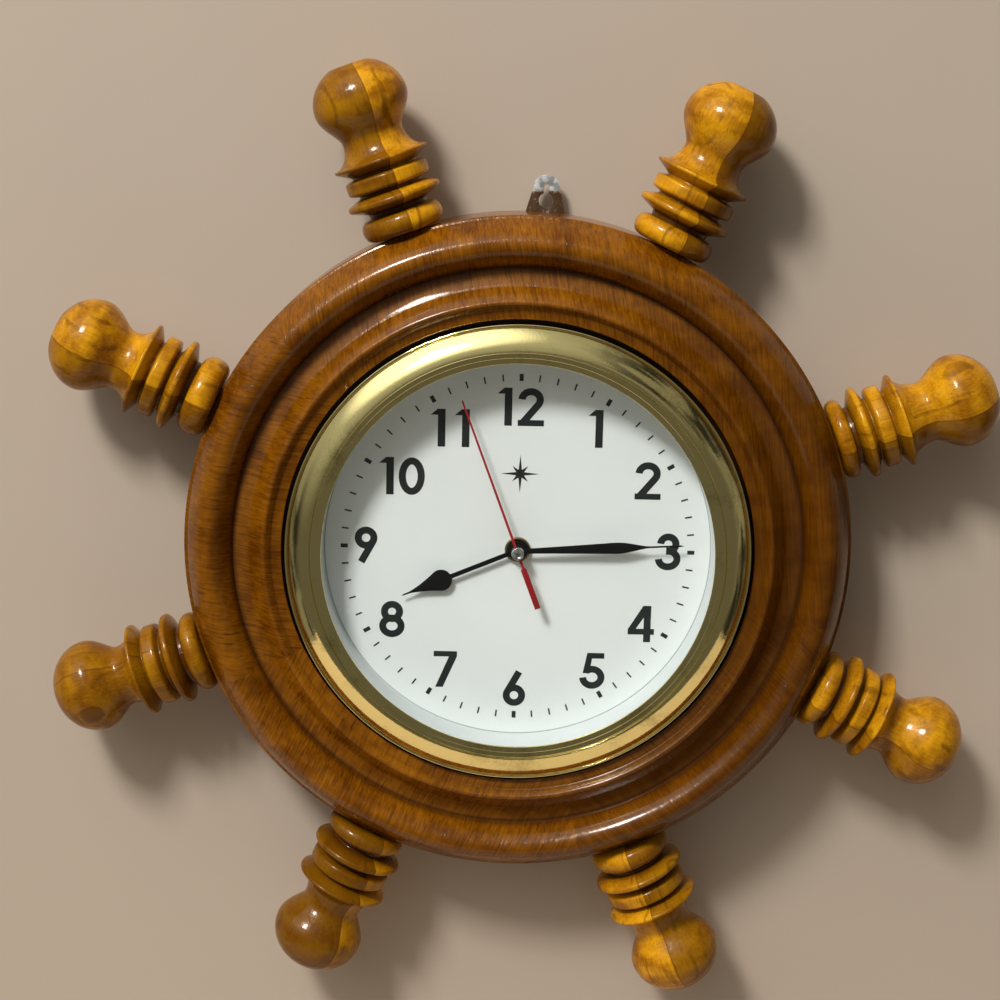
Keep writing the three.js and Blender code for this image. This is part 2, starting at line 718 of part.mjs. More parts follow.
function addWheels() {
  const cannonR = motionSpan - motionWheelR;
  const cannonPhase = motionAt.angle();
  const motionPhase = meshPhase(centreAt, cannonR, cannonPhase, motionAt, motionWheelR, motionTeeth);
  const hourPhase = motionAt.angle();
  const motionPinionR = motionSpan - hourWheelR;
  const motionPinionPhase =
    meshPhase(centreAt, hourWheelR, hourPhase, motionAt, motionPinionR, motionPinionTeeth);
  const knobPhase = meshPhase(motionAt, motionWheelR, motionPhase, knobAt, knobPinionR, knobTeeth);

  const hourBore = rod(hourBoreR, layerBack(0) - wheelGap, hourHubFront + hubGap, tubeSides);
  const hourBody = joined(
    gear(hourTeeth, hourWheelR, hourPhase, 0, centreAt),
    rod(hourTubeR, layerBack(0), hourHubFront, tubeSides),
  );
  addPiece('hour_wheel', cut(hourBody, hourBore), 'whitePlastic');

  const minuteBack = layerBack(2) - wheelGap / 2;
  const minuteBore = rod(minuteBoreR, minuteBack - wheelGap, minuteHubFront + hubGap, tubeSides);
  const minuteBody = joined(
    gear(cannonTeeth, cannonR, cannonPhase, 1, centreAt),
    rod(minuteTubeR, minuteBack, minuteHubFront, tubeSides),
  );
  addPiece('minute_arbor', cut(minuteBody, minuteBore), 'brass');

  addPiece('motion_wheel', joined(
    gear(motionTeeth, motionWheelR, motionPhase, 1, motionAt),
    gear(motionPinionTeeth, motionPinionR, motionPinionPhase, 0, motionAt),
    arbor(arborR, motionAt),
    rod(motionPinionR / 2, layerFront(1), layerBack(0), smallSides, motionAt),
  ), 'whitePlastic');

  const knobShape = new THREE.Shape(Array.from({ length: 2 * knobRibs }, (_, i) => {
    const r = i % 2 ? knobR - knobRibDepth : knobR;
    const angle = (PI * i) / knobRibs;
    return new THREE.Vector2(r * cos(angle), r * sin(angle));
  }));
  addPiece('setting_knob', joined(
    plate(knobShape, wallRoom, wallRoom + knobThickness, knobAt),
    rod(knobArborR, wallRoom, arborFront, smallSides, knobAt),
    gear(knobTeeth, knobPinionR, knobPhase, 1, knobAt),
  ), 'blackPlastic');

  const secondPinionR = (trainSpan * secondPinionTeeth) / (secondPinionTeeth + thirdTeeth);
  const thirdR = trainSpan - secondPinionR;
  const thirdPinionR = (trainSpan * thirdPinionTeeth) / (thirdPinionTeeth + centreTeeth);
  const centreR = trainSpan - thirdPinionR;
  const reductionPinionR = (trainSpan * reductionPinionTeeth) / (reductionPinionTeeth + secondTeeth);
  const secondR = trainSpan - reductionPinionR;
  const rotorPinionR = (rotorSpan * rotorTeeth) / (rotorTeeth + reductionTeeth);
  const reductionR = rotorSpan - rotorPinionR;
  const upright = thirdAt.angle();
  const thirdPhase = meshPhase(centreAt, secondPinionR, upright, thirdAt, thirdR, thirdTeeth);
  const thirdPinionPhase = meshPhase(centreAt, centreR, upright, thirdAt, thirdPinionR, thirdPinionTeeth);
  const secondPhase = reductionAt.angle();
  const reductionPinionPhase =
    meshPhase(centreAt, secondR, secondPhase, reductionAt, reductionPinionR, reductionPinionTeeth);
  const rotorLine = rotorAt.clone().sub(reductionAt).angle();
  const rotorPhase = meshPhase(reductionAt, reductionR, rotorLine, rotorAt, rotorPinionR, rotorTeeth);

  const centreBore = rod(minuteTubeR + runGap, layerBack(2) - wheelGap, layerFront(2) + wheelGap, tubeSides);
  addPiece('centre_wheel', cut(gear(centreTeeth, centreR, upright, 2, centreAt), centreBore), 'whitePlastic');

  addPiece('second_wheel', joined(
    gear(secondTeeth, secondR, secondPhase, 4, centreAt),
    gear(secondPinionTeeth, secondPinionR, upright, 3, centreAt),
    rod(secondPinionR / 2, layerFront(4), layerBack(3), smallSides),
    rod(secondArborR, arborBack, capBack + secondNeedleAt - hubGap, tubeSides),
  ), 'steel');

  addPiece('third_wheel', joined(
    gear(thirdTeeth, thirdR, thirdPhase, 3, thirdAt),
    gear(thirdPinionTeeth, thirdPinionR, thirdPinionPhase, 2, thirdAt),
    arbor(arborR, thirdAt),
  ), 'whitePlastic');

  addPiece('reduction_wheel', joined(
    gear(reductionTeeth, reductionR, rotorLine, 5, reductionAt),
    gear(reductionPinionTeeth, reductionPinionR, reductionPinionPhase, 4, reductionAt),
    arbor(arborR, reductionAt),
  ), 'whitePlastic');

  const magnetBack = layerFront(3) - magnetThickness / 2;
  addPiece('rotor', joined(
    rod(magnetR, magnetBack, magnetBack + magnetThickness, tubeSides, rotorAt),
    gear(rotorTeeth, rotorPinionR, rotorPhase, 5, rotorAt),
    arbor(arborR, rotorAt),
  ), 'steel');
}

// Motor: a stator plate round the rotor's magnet, closed through the coil above it
const statorDepth = layerFront(3) - statorThickness / 2;

function addMotor() {
  const { x, y: z } = rotorAt;
  const ringR = magnetR + statorAirGap + statorRing;
  const shape = new THREE.Shape();
  shape.moveTo(x - statorHalf, coilZ + coreHalf);
  shape.lineTo(x - statorHalf, z + magnetR);
  shape.absarc(x, z, ringR, PI, 2 * PI, false);
  shape.lineTo(x + statorHalf, z + magnetR);
  shape.lineTo(x + statorHalf, coilZ + coreHalf);
  const eye = new THREE.Path();
  eye.absarc(x, z, magnetR + statorAirGap, 0, 2 * PI, true);
  const windowHalf = statorHalf - statorLeg;
  const windowLow = z + ringR;
  const opening = new THREE.Path([
    new THREE.Vector2(x - windowHalf, windowLow), new THREE.Vector2(x - windowHalf, coilZ - coreHalf),
    new THREE.Vector2(x + windowHalf, coilZ - coreHalf), new THREE.Vector2(x + windowHalf, windowLow),
  ]);
  shape.holes.push(eye, opening);
  addPiece('stator', plate(shape, statorDepth, statorDepth + statorThickness), 'steel');

  const half = coilLength / 2;
  const bobbin = lathed([
    [0, -half], [coilR, -half], [coilR, coilFlange - half], [coilWindingR, coilFlange - half],
    [coilWindingR, half - coilFlange], [coilR, half - coilFlange], [coilR, half], [0, half],
  ], tubeSides);
  const coreDepth = statorDepth + statorThickness / 2;
  bobbin.rotateZ(PI / 2);
  bobbin.translate(x, -coreDepth, coilZ);
  const core = block(
    x - coilLength, x + coilLength, statorDepth - fitGap, statorDepth + statorThickness + fitGap,
    coilZ - coreHalf - fitGap, coilZ + coreHalf + fitGap,
  );
  addPiece('drive_coil', cut(bobbin, core), 'copper');
}

// Circuit board on two posts at the left of the case, with its crystal on its back
const circuitFront = layerFront(2);
const circuitBack = circuitFront - circuitThickness;
const circuitLeft = fitGap - insideHalf;
const circuitPosts = [postInset - circuitDrop, boardHeight - circuitDrop - postInset];

function addCircuit() {
  addPiece('circuit_board', block(
    circuitLeft, circuitLeft + boardWidth, circuitBack, circuitFront, -circuitDrop, boardHeight - circuitDrop,
  ), 'circuit');
  const crystal = alongZ([[0, 0], [crystalR, 0], [crystalR, crystalLength], [0, crystalLength]], smallSides);
  crystal.translate(circuitLeft + boardWidth / 2, -(circuitBack - crystalR - seatGap), 0);
  addPiece('quartz_crystal', crystal, 'steel');
}

function addCase() {
  const insideBack = caseBack - caseWall;
  const shell = block(-caseHalf, caseHalf, caseBack, caseFront, bayBottom - caseWall, insideTop + caseWall);
  const trainRoom = block(-insideHalf, insideHalf, insideBack, caseInside, bayTop + caseWall, insideTop);
  const bay = block(-insideHalf, insideHalf, insideBack, caseInside, bayBottom, bayTop);
  const post = (back, x, z) => rod(postR, back + seatGap, caseFront, smallSides, new THREE.Vector2(x, z));
  const legX = statorHalf - statorLeg / 2;
  const posts = [
    ...[-legX, legX].map((x) => post(statorDepth + statorThickness, rotorAt.x + x, coilZ - coilR)),
    ...circuitPosts.map((z) => post(circuitFront, circuitLeft + postInset, z)),
  ];
  const bush = rod(bushR, caseInside, bushFront, tubeSides);
  const bushBore = rod(bushBoreR, caseInside - wheelGap, bushFront + hubGap, tubeSides);
  const pivot = (r, at) => rod(r + runGap, caseInside - wheelGap, arborFront + pivotEndGap, smallSides, at);
  const pivots = [motionAt, thirdAt, reductionAt, rotorAt].map((at) => pivot(arborR, at));
  const body = joined(cut(shell, trainRoom, bay), ...posts, bush);
  addPiece('movement_case', cut(body, bushBore, ...pivots, pivot(knobArborR, knobAt)), 'blackPlastic');

  const cover = block(-caseHalf, caseHalf, coverBack, coverFront, bayTop, insideTop + caseWall);
  const coverPivots = [centreAt, motionAt, thirdAt, reductionAt, rotorAt].map((at) =>
    rod(arborR + runGap, arborBack - pivotEndGap, coverFront + wheelGap, smallSides, at));
  const knobHole = rod(knobArborR + runGap, coverBack - wallRoom, coverFront + wheelGap, smallSides, knobAt);
  addPiece('movement_cover', cut(cover, ...coverPivots, knobHole), 'blackPlastic');
}

// Battery lying along X, with a bowed strip at each end
function addBattery() {
  const half = batteryLength / 2;
  const cell = lathed([
    [0, -half], [batteryR, -half], [batteryR, half - batteryNub], [batteryNubR, half - batteryNub],
    [batteryNubR, half], [0, half],
  ], tubeSides);
  cell.rotateZ(-PI / 2);
  cell.translate(0, -batteryDepth, batteryZ);
  addPiece('battery', cell, 'battery');

  for (const [name, side] of [['contact_plus', 1], ['contact_minus', -1]]) {
    const wallX = side * (insideHalf - seatGap);
    const plateX = wallX - side * contactPlate;
    const bowX = side * (half + seatGap);
    const low = -contactHeight / 2;
    const outline = [[wallX, low], [plateX, low], [bowX, 0], [plateX, -low], [wallX, -low]];
    const shape = new THREE.Shape(outline.map(([x, z]) => new THREE.Vector2(x, z)));
    const strip = plate(shape, batteryDepth - contactWidth / 2, batteryDepth + contactWidth / 2,
      new THREE.Vector2(0, batteryZ));
    addPiece(name, strip, 'steel');
  }
}

addRim();
addHandles();
addHanger();
addBezelAndGlass();
addDial();
addHourHand();
addMinuteHand();
addSecondHand();
addWheels();
addMotor();
addCircuit();
addCase();
addBattery();

const part = new THREE.Group();
part.add(clock);

export default part;
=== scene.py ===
import math

import bmesh
import bpy
from mathutils import Matrix, Vector
from mathutils.geometry import delaunay_2d_cdt


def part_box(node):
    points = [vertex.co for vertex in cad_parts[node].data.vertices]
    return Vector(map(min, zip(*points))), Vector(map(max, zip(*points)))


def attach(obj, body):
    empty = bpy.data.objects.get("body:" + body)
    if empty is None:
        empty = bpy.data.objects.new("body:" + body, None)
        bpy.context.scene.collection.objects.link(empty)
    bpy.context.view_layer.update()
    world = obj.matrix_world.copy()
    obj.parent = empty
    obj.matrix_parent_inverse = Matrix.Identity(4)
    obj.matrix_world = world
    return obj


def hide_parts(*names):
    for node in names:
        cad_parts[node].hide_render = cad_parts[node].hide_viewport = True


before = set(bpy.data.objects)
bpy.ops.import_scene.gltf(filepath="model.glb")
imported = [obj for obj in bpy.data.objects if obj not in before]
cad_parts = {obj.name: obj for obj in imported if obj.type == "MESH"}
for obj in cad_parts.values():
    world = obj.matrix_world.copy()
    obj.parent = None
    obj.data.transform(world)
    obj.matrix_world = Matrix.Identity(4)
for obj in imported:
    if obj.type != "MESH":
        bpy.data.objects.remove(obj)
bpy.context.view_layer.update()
scene = bpy.context.scene

mm = 0.001
axisAt = Vector((-3.2, 0, -159.8))  # the wheel's axis, from the nail, in mm
dialTilt = -2.25  # the dial sits a little anticlockwise in its rim


# Places: x and z from the wheel's axis, depth out from the wall, all in mm
def spot(x, depth, z):
    return Vector((x + axisAt.x, -depth, z + axisAt.z)) * mm


def ringSpot(r, depth, degrees):  # clockwise from the top
    turn = math.radians(degrees)
    return spot(r * math.sin(turn), depth, r * math.cos(turn))


def fromSpot(point):  # a frame point back to x, depth, z in mm
    return point.x / mm - axisAt.x, -point.y / mm, point.z / mm - axisAt.z


# Shader sums: a wire is one output socket, and sums on wires add Math nodes
class Wire:
    def __init__(self, tree, socket=None):
        self.tree = tree
        self.socket = socket

    def node(self, kind, settings, sockets, out=0):
        made = self.tree.nodes.new(kind)
        for name, value in settings.items():
            setattr(made, name, value)
        for name, value in sockets.items():
            if isinstance(value, Wire):
                self.tree.links.new(value.socket, made.inputs[name])
            else:
                made.inputs[name].default_value = value
        return Wire(self.tree, made.outputs[out])

    def maths(self, operation, *values):
        return self.node("ShaderNodeMath", {"operation": operation}, dict(enumerate((self, *values))))

    def __add__(self, other):
        return self.maths("ADD", other)

    __radd__ = __add__

    def __sub__(self, other):
        return self.maths("SUBTRACT", other)

    def __rsub__(self, other):
        return self.node("ShaderNodeMath", {"operation": "SUBTRACT"}, {0: other, 1: self})

    def __mul__(self, other):
        return self.maths("MULTIPLY", other)

    __rmul__ = __mul__

    def __abs__(self):
        return self.maths("ABSOLUTE")

    def between(self, low, high):  # 0 below low, 1 above high, smooth in between
        return self.node("ShaderNodeMapRange", {"interpolation_type": "SMOOTHSTEP"},
                         {"Value": self, "From Min": low, "From Max": high})

    def tint(self, first, second):  # this wire mixes two colours
        colours = [(*c, 1) if isinstance(c, tuple) else c for c in (first, second)]
        return self.node("ShaderNodeMix", {"data_type": "RGBA"}, {0: self, 6: colours[0], 7: colours[1]}, 2)

    def stretched(self, x, y, z):  # a vector scaled on each axis
        return self.node("ShaderNodeVectorMath", {"operation": "MULTIPLY"}, {0: self, 1: (x, y, z)})

    def cloud(self, scale, detail=3.0, roughness=0.55, distortion=0.0):
        return self.node("ShaderNodeTexNoise", {}, {
            "Vector": self, "Scale": scale, "Detail": detail, "Roughness": roughness,
            "Distortion": distortion})

    def part(self, name):
        return self.node("ShaderNodeSeparateXYZ", {}, {0: self}, name)

    def marked(self, name, out="Fac"):  # an attribute painted on the mesh
        return self.node("ShaderNodeAttribute", {"attribute_name": name}, {}, out)

    def here(self):  # frame position in mm
        return self.node("ShaderNodeTexCoord", {}, {}, "Object").stretched(1000, 1000, 1000)

    def bumped(self, strength, distance):
        return self.node("ShaderNodeBump", {}, {"Strength": strength, "Distance": distance, "Height": self})


def newFinish(name, **fixed):
    finish = bpy.data.materials.new(name)
    finish.use_nodes = True
    tree = finish.node_tree
    shader = next(n for n in tree.nodes if n.type == "BSDF_PRINCIPLED")
    for socket, value in fixed.items():
        shader.inputs[socket.replace("_", " ")].default_value = value
    wire = Wire(tree)

    def feed(socket, value):
        tree.links.new(value.socket, shader.inputs[socket])

    return finish, wire, feed


# Wood: rings and fibres along a grain direction that each piece carries in its mesh
# the stain colour also paints shade in the rim's hollows and darkens the handles' grooves
rimWoodLook = {
    "pale": (0.315, 0.128, 0.0045), "deep": (0.113, 0.036, 0.0016), "line": (0.034, 0.009, 0.0010),
    "stain": (0.020, 0.006, 0.0010), "rings": 0.10, "bend": 3.0, "ringWeight": 0.30, "poreWeight": 0.6,
    "fibre": 0.5, "ripple": 2.0, "gloss": 0.18, "varnish": 0.5, "amber": (0.75, 0.50, 0.20), "shine": 0.20,
}
handleWoodLook = {
    "pale": (0.72, 0.385, 0.0090), "deep": (0.250, 0.095, 0.0028), "line": (0.085, 0.025, 0.0016),
    "stain": (0.050, 0.014, 0.0016), "rings": 0.09, "bend": 3.4, "ringWeight": 0.55, "poreWeight": 0.24,
    "fibre": 0.3, "ripple": 1.0, "gloss": 0.15, "varnish": 0.45, "amber": (0.75, 0.50, 0.20), "shine": 0.13,
}
bareWoodLook = {
    "pale": (0.46, 0.30, 0.15), "deep": (0.33, 0.19, 0.085), "line": (0.19, 0.095, 0.04),
    "stain": (0.16, 0.08, 0.035), "rings": 0.17, "bend": 5.0, "ringWeight": 0.4, "poreWeight": 0.4,
    "fibre": 0.55, "ripple": 1.2, "gloss": 0.6, "varnish": 0.0, "amber": (1.0, 1.0, 1.0), "shine": 0.3,
}


def woodFinish(name, look):
    finish, wire, feed = newFinish(
        name, IOR=1.5, Specular_IOR_Level=look["shine"], Coat_Weight=look["varnish"], Coat_Roughness=0.08,
        Coat_IOR=1.32, Coat_Tint=(*look["amber"], 1))
    grain = wire.marked("grainAt", "Vector")
    tone = wire.marked("tone")
    slow = grain.stretched(0.010, 0.035, 0.035).cloud(1.0, 2.0)
    phase = grain.part("Y") * look["rings"] + slow * look["bend"]
    rings = (phase * math.tau).maths("SINE").between(0.70, 1.0)
    patch = grain.stretched(0.07, 0.10, 0.10).cloud(1.0).between(0.42, 0.62)
    fibre = grain.stretched(0.035, 1.1, 1.1).cloud(1.0, 4.0, 0.62)
    pores = grain.stretched(0.05, 1.3, 1.3).cloud(1.0, 2.0).between(0.57, 0.67)
    figure = grain.stretched(0.11, 0.05, 0.05).cloud(1.0)
    streaks = fibre * look["fibre"] + figure * (1 - look["fibre"])
    body = streaks.between(0.32, 0.70).tint(look["deep"], look["pale"])
    pitted = pores * (patch * 0.6 + 0.4) * look["poreWeight"]
    lines = (rings * patch * look["ringWeight"]).maths("MAXIMUM", pitted)
    lined = lines.tint(body, look["line"])
    seam = 1 - abs(wire.marked("seam")).between(0.10, 0.42)
    blot = (wire.marked("mark") + (fibre - 0.5) * 0.5 + (figure - 0.5) * 0.7).between(0.42, 0.62)
    # the mesh's stain mask, partly stain and partly painted shade, darkens the wood
    shade = (wire.marked("stain") + (figure - 0.5) * 0.25).between(0.05, 1.0)
    # the tone darkens and dims the wood; round the rim it also paints light and shade
    tonedAndLit = ((1 - tone) * 0.5).tint(lined, look["deep"])
    dimmed = {0: tonedAndLit, "Scale": tone * 0.4 + 0.6}
    tonedAndLit = tonedAndLit.node("ShaderNodeVectorMath", {"operation": "SCALE"}, dimmed)
    glued = (seam * 0.6).tint(tonedAndLit, look["line"])
    blotted = (blot * 0.72).tint(glued, look["line"])
    feed("Base Color", shade.tint(blotted, look["stain"]))
    dull = wire.marked("dull")  # the hollow of the rim is not polished
    feed("Roughness", fibre * 0.10 + pores * 0.08 + dull * 0.4 + look["gloss"] - 0.04)
    ripple = grain.stretched(0.03, 0.42, 0.42).cloud(1.0, 2.0)
    height = fibre * 0.6 + ripple * look["ripple"] + figure * 0.6 - pores * 0.5
    feed("Normal", height.bumped(0.30, 0.0004))
    return finish


# Brass, with slow tarnish and fine specks
brassLook = {"bright": (0.80, 0.68, 0.30), "tarnish": (0.46, 0.38, 0.15), "gloss": 0.085}
nutLook = {"bright": (0.42, 0.32, 0.20), "tarnish": (0.20, 0.14, 0.08), "gloss": 0.26}


def brassFinish(name, look, spread):
    finish, wire, feed = newFinish(name, Metallic=1.0)
    place = wire.here()
    blotch = place.cloud(0.045 * spread, 4.0, 0.6)
    speck = place.cloud(0.9 * spread, 3.0, 0.6)
    dull = (blotch * 0.75 + speck * 0.25).between(0.50, 0.74)
    feed("Base Color", dull.tint(look["bright"], look["tarnish"]))
    feed("Roughness", dull * 0.14 + speck * 0.05 + look["gloss"] - 0.03)
    feed("Normal", (speck + blotch * 2).bumped(0.05, 0.0004))
    return finish


def paintFinish(name, colour, worn, gloss, grainScale, depth=0.00008, metal=0.0, shine=0.5):
    finish, wire, feed = newFinish(name, Metallic=metal, Specular_IOR_Level=shine)
    place = wire.here()
    slow = place.cloud(0.05)
    fine = place.cloud(grainScale, 2.0)
    feed("Base Color", (slow * 0.6 + fine * 0.4).between(0.36, 0.68).tint(colour, worn))
    feed("Roughness", fine * 0.16 + slow * 0.10 + gloss - 0.13)
    feed("Normal", fine.bumped(0.25, depth))
    return finish


steelLook = {"bright": (0.60, 0.61, 0.60), "dull": (0.36, 0.37, 0.36), "gloss": 0.30}
# varnish on the hanger tab, up to its top in mm above the rim's edge
varnishLook = {"colour": (0.060, 0.029, 0.011), "top": 9.0, "ragged": 2.6, "metal": 0.55}


def steelFinish(name, look, smear=None):
    finish, wire, feed = newFinish(name)
    place = wire.here()
    cells = {"Vector": place, "Scale": 0.5}
    flake = place.node("ShaderNodeTexVoronoi", {}, cells, "Color").part(0)
    grain = place.cloud(1.4)
    bare = (flake * 0.55 + grain * 0.45).between(0.25, 0.75)
    metal = bare.tint(look["dull"], look["bright"])
    if smear:
        above = place.part("Z") - (axisAt.z + rim["outerR"])
        covered = 1 - (above + (place.cloud(0.35) - 0.5) * smear["ragged"] * 2).between(
            smear["top"] - 0.8, smear["top"] + 0.8)
        worn = place.cloud(0.8).between(0.60, 0.68) * 0.25
        coat = covered * (1 - worn)
        feed("Base Color", coat.tint(metal, smear["colour"]))
        feed("Metallic", (1 - coat) * smear["metal"])
        feed("Roughness", bare * 0.2 + look["gloss"] - coat * 0.12)
    else:
        feed("Base Color", metal)
        feed("Metallic", 1 - bare * 0.05)
        feed("Roughness", bare * 0.2 + look["gloss"] - 0.1)
    feed("Normal", grain.bumped(0.15, 0.0002))
    return finish


def bareFinish(name):  # a material with no nodes yet
    finish = bpy.data.materials.new(name)
    finish.use_nodes = True
    finish.node_tree.nodes.clear()
    return finish, Wire(finish.node_tree)


def outputOf(surface):
    out = surface.tree.nodes.new("ShaderNodeOutputMaterial")
    surface.tree.links.new(surface.socket, out.inputs["Surface"])


def glassFinish(name):
    finish, wire = bareFinish(name)
    gloss = wire.node("ShaderNodeBsdfGlossy", {}, {"Color": (1, 1, 1, 1), "Roughness": 0.02})
    clear = wire.node("ShaderNodeBsdfTransparent", {}, {"Color": (0.975, 0.985, 0.98, 1)})
    smudge = wire.here().cloud(0.03, 4.0).between(0.55, 0.75)
    edge = wire.node("ShaderNodeFresnel", {}, {"IOR": 1.45}) + smudge * 0.012
    # only outer faces mirror, so light does not bounce inside the pane
    outside = 1 - wire.node("ShaderNodeNewGeometry", {}, {}, "Backfacing")
    outputOf(wire.node("ShaderNodeMixShader", {}, {0: edge * outside, 1: clear, 2: gloss}))
    return finish


# Meshes
def take(look, names):  # several values of one dictionary
    return (look[name] for name in names.split())


def newObject(name, data):
    made = bpy.data.objects.new(name, data)
    scene.collection.objects.link(made)
    return made


def smoothed(mesh, sharp):  # smooth shading, but for edges over so many degrees
    mesh.shade_smooth()
    mesh.set_sharp_from_angle(angle=math.radians(sharp))


def moulding(start, end, rise, steps):  # a parabola: a bead, or a cove where rise is below 0
    points = []
    for i in range(steps + 1):
        share = i / steps
        swell = rise * (1 - (2 * share - 1) ** 2)
        r = start[0] + (end[0] - start[0]) * share
        along = start[1] + (end[1] - start[1]) * share
        points.append((r, along + swell))
    return points


def eased(corners, steps=4):  # (r, along, radius) corners, rounded where a radius is given
    out = []
    for i, corner in enumerate(corners):
        here = Vector(corner[:2])
        if len(corner) < 3:
            out.append(tuple(here))
            continue
        back = Vector(corners[i - 1][:2]) - here
        ahead = Vector(corners[(i + 1) % len(corners)][:2]) - here
        reach = min(corner[2], back.length * 0.45, ahead.length * 0.45)
        start = here + back.normalized() * reach
        end = here + ahead.normalized() * reach
        for k in range(steps + 1):
            t = k / steps
            out.append(tuple(start * (1 - t) ** 2 + here * 2 * t * (1 - t) + end * t ** 2))
    return out


def turnedMesh(name, profile, sides, place=ringSpot, start=0.0):
    points, faces, rows = [], [], []
    for r, along in profile:
        if r < 1e-6:
            rows.append([len(points)] * sides)
            points.append(place(0, along, 0))
        else:
            rows.append(range(len(points), len(points) + sides))
            points += [place(r, along, start + 360 * i / sides) for i in range(sides)]
    pairs = list(zip(rows, rows[1:]))
    if profile[0][0] > 1e-6:
        pairs.append((rows[-1], rows[0]))
    for low, high in pairs:
        for i in range(sides):
            j = (i + 1) % sides
            faces.append(list(dict.fromkeys((low[i], low[j], high[j], high[i]))))
    return newMesh(name, points, faces)


def newMesh(name, points, faces):
    mesh = bpy.data.meshes.new(name)
    mesh.from_pydata(points, [], faces)
    work = bmesh.new()
    work.from_mesh(mesh)
    bmesh.ops.remove_doubles(work, verts=work.verts, dist=1e-7)
    bmesh.ops.recalc_face_normals(work, faces=work.faces)
    work.to_mesh(mesh)
    work.free()
    return mesh


def addPiece(mesh, finish, body="wheel", stands=None, sharp=35):
    smoothed(mesh, sharp)
    piece = newObject(mesh.name, mesh)
    for each in finish if isinstance(finish, list) else [finish]:
        mesh.materials.append(each)
    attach(piece, body)
    if stands:
        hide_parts(stands)
    return piece


def applied(piece):  # bakes a piece's modifiers into its mesh
    bpy.context.view_layer.update()
    shown = piece.evaluated_get(bpy.context.evaluated_depsgraph_get())
    old = piece.data
    piece.data = bpy.data.meshes.new_from_object(shown)
    piece.modifiers.clear()
    piece.data.name = old.name
    bpy.data.meshes.remove(old)


def carved(piece, mesh):  # cuts a mesh out of a piece
    tool = newObject(mesh.name, mesh)
    carve = piece.modifiers.new(mesh.name, "BOOLEAN")
    carve.operation = "DIFFERENCE"
    carve.object = tool
    carve.solver = "EXACT"
    applied(piece)
    bpy.data.objects.remove(tool)


def slabMesh(name, outline, back, front, turn=0.0):  # an x, z outline between two depths
    swing = Matrix.Rotation(-math.radians(turn), 2)
    flat = [swing @ Vector(p) for p in outline]
    count = len(flat)
    points = [spot(p.x, back, p.y) for p in flat] + [spot(p.x, front, p.y) for p in flat]
    faces = [list(range(count)), list(range(2 * count - 1, count - 1, -1))]
    for i in range(count):
        j = (i + 1) % count
        faces.append([i, i + count, j + count, j])
    return newMesh(name, points, faces)


def softened(piece, width):  # rounds the edges of a piece
    bevel = piece.modifiers.new("softEdges", "BEVEL")
    bevel.width = width * mm
    bevel.segments = 2
    bevel.limit_method = "ANGLE"
    bevel.angle_limit = math.radians(30)
    applied(piece)
    smoothed(piece.data, 40)


def softCopy(node, finish, width, body="wheel"):  # a CAD solid with its edges rounded
    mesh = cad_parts[node].data.copy()
    mesh.name = node + "_soft"
    mesh.materials.clear()
    work = bmesh.new()
    work.from_mesh(mesh)
    bmesh.ops.remove_doubles(work, verts=work.verts, dist=1e-6)
    bmesh.ops.dissolve_limit(work, angle_limit=math.radians(1), verts=work.verts, edges=work.edges)
    work.to_mesh(mesh)
    work.free()
    softened(addPiece(mesh, finish, body, node), width)


def paint(mesh, **layers):  # one value for each face corner
    for name, values in layers.items():
        isVector = isinstance(values[0], tuple)
        layer = mesh.attributes.new(name, "FLOAT_VECTOR" if isVector else "FLOAT", "CORNER")
        flat = [part for value in values for part in value] if isVector else values
        layer.data.foreach_set("vector" if isVector else "value", flat)


# Rim
rim = {
    "outerR": 149.0, "shoulderR": 147.7, "coveOuterR": 126.9, "arrisR": 118.8, "flankR": 109.3,
    "bandR": 104.9, "spigotR": 101.8, "boreR": 91.0, "rebateR": 97.8, "sideDepth": 31.4,
    "shoulderDepth": 32.0, "outerRise": 11.4, "coveOuterDepth": 34.0, "coveDip": 0.6, "arrisDepth": 36.8,
    "crest": (112.35, 43.25, 1.7), "flankDepth": 39.6, "bandDepth": 38.6, "gapFloor": 30.0,
    "spigotDepth": 38.4, "ledgeDepth": 26.15, "sides": 288,
    # boards round the rim: where each starts, and which way its grain runs, in degrees from the top
    "boards": [(25, 172), (100, 130), (165, 204), (243, 276), (310, 347)],
    # tone round the rim by degrees from the top: partly the wood's own tone, partly painted light, paler at
    # the top and painted shade darkest on the right
    "tones": [(0, 1.0), (30, 0.7), (60, 0.2), (85, 0.0), (130, 0.0), (165, 0.6), (205, 0.95), (235, 0.95),
              (265, 0.65), (300, 0.7), (335, 0.85), (360, 1.0)],
}


def boardAt(degrees):
    starts = [start for start, _ in rim["boards"]]
    passed = [i for i, start in enumerate(starts) if degrees >= start]
    return passed[-1] if passed else len(starts) - 1


def toneAt(degrees):
    for (start, first), (end, second) in zip(rim["tones"], rim["tones"][1:]):
        if degrees <= end:
            return first + (second - first) * (degrees - start) / (end - start)


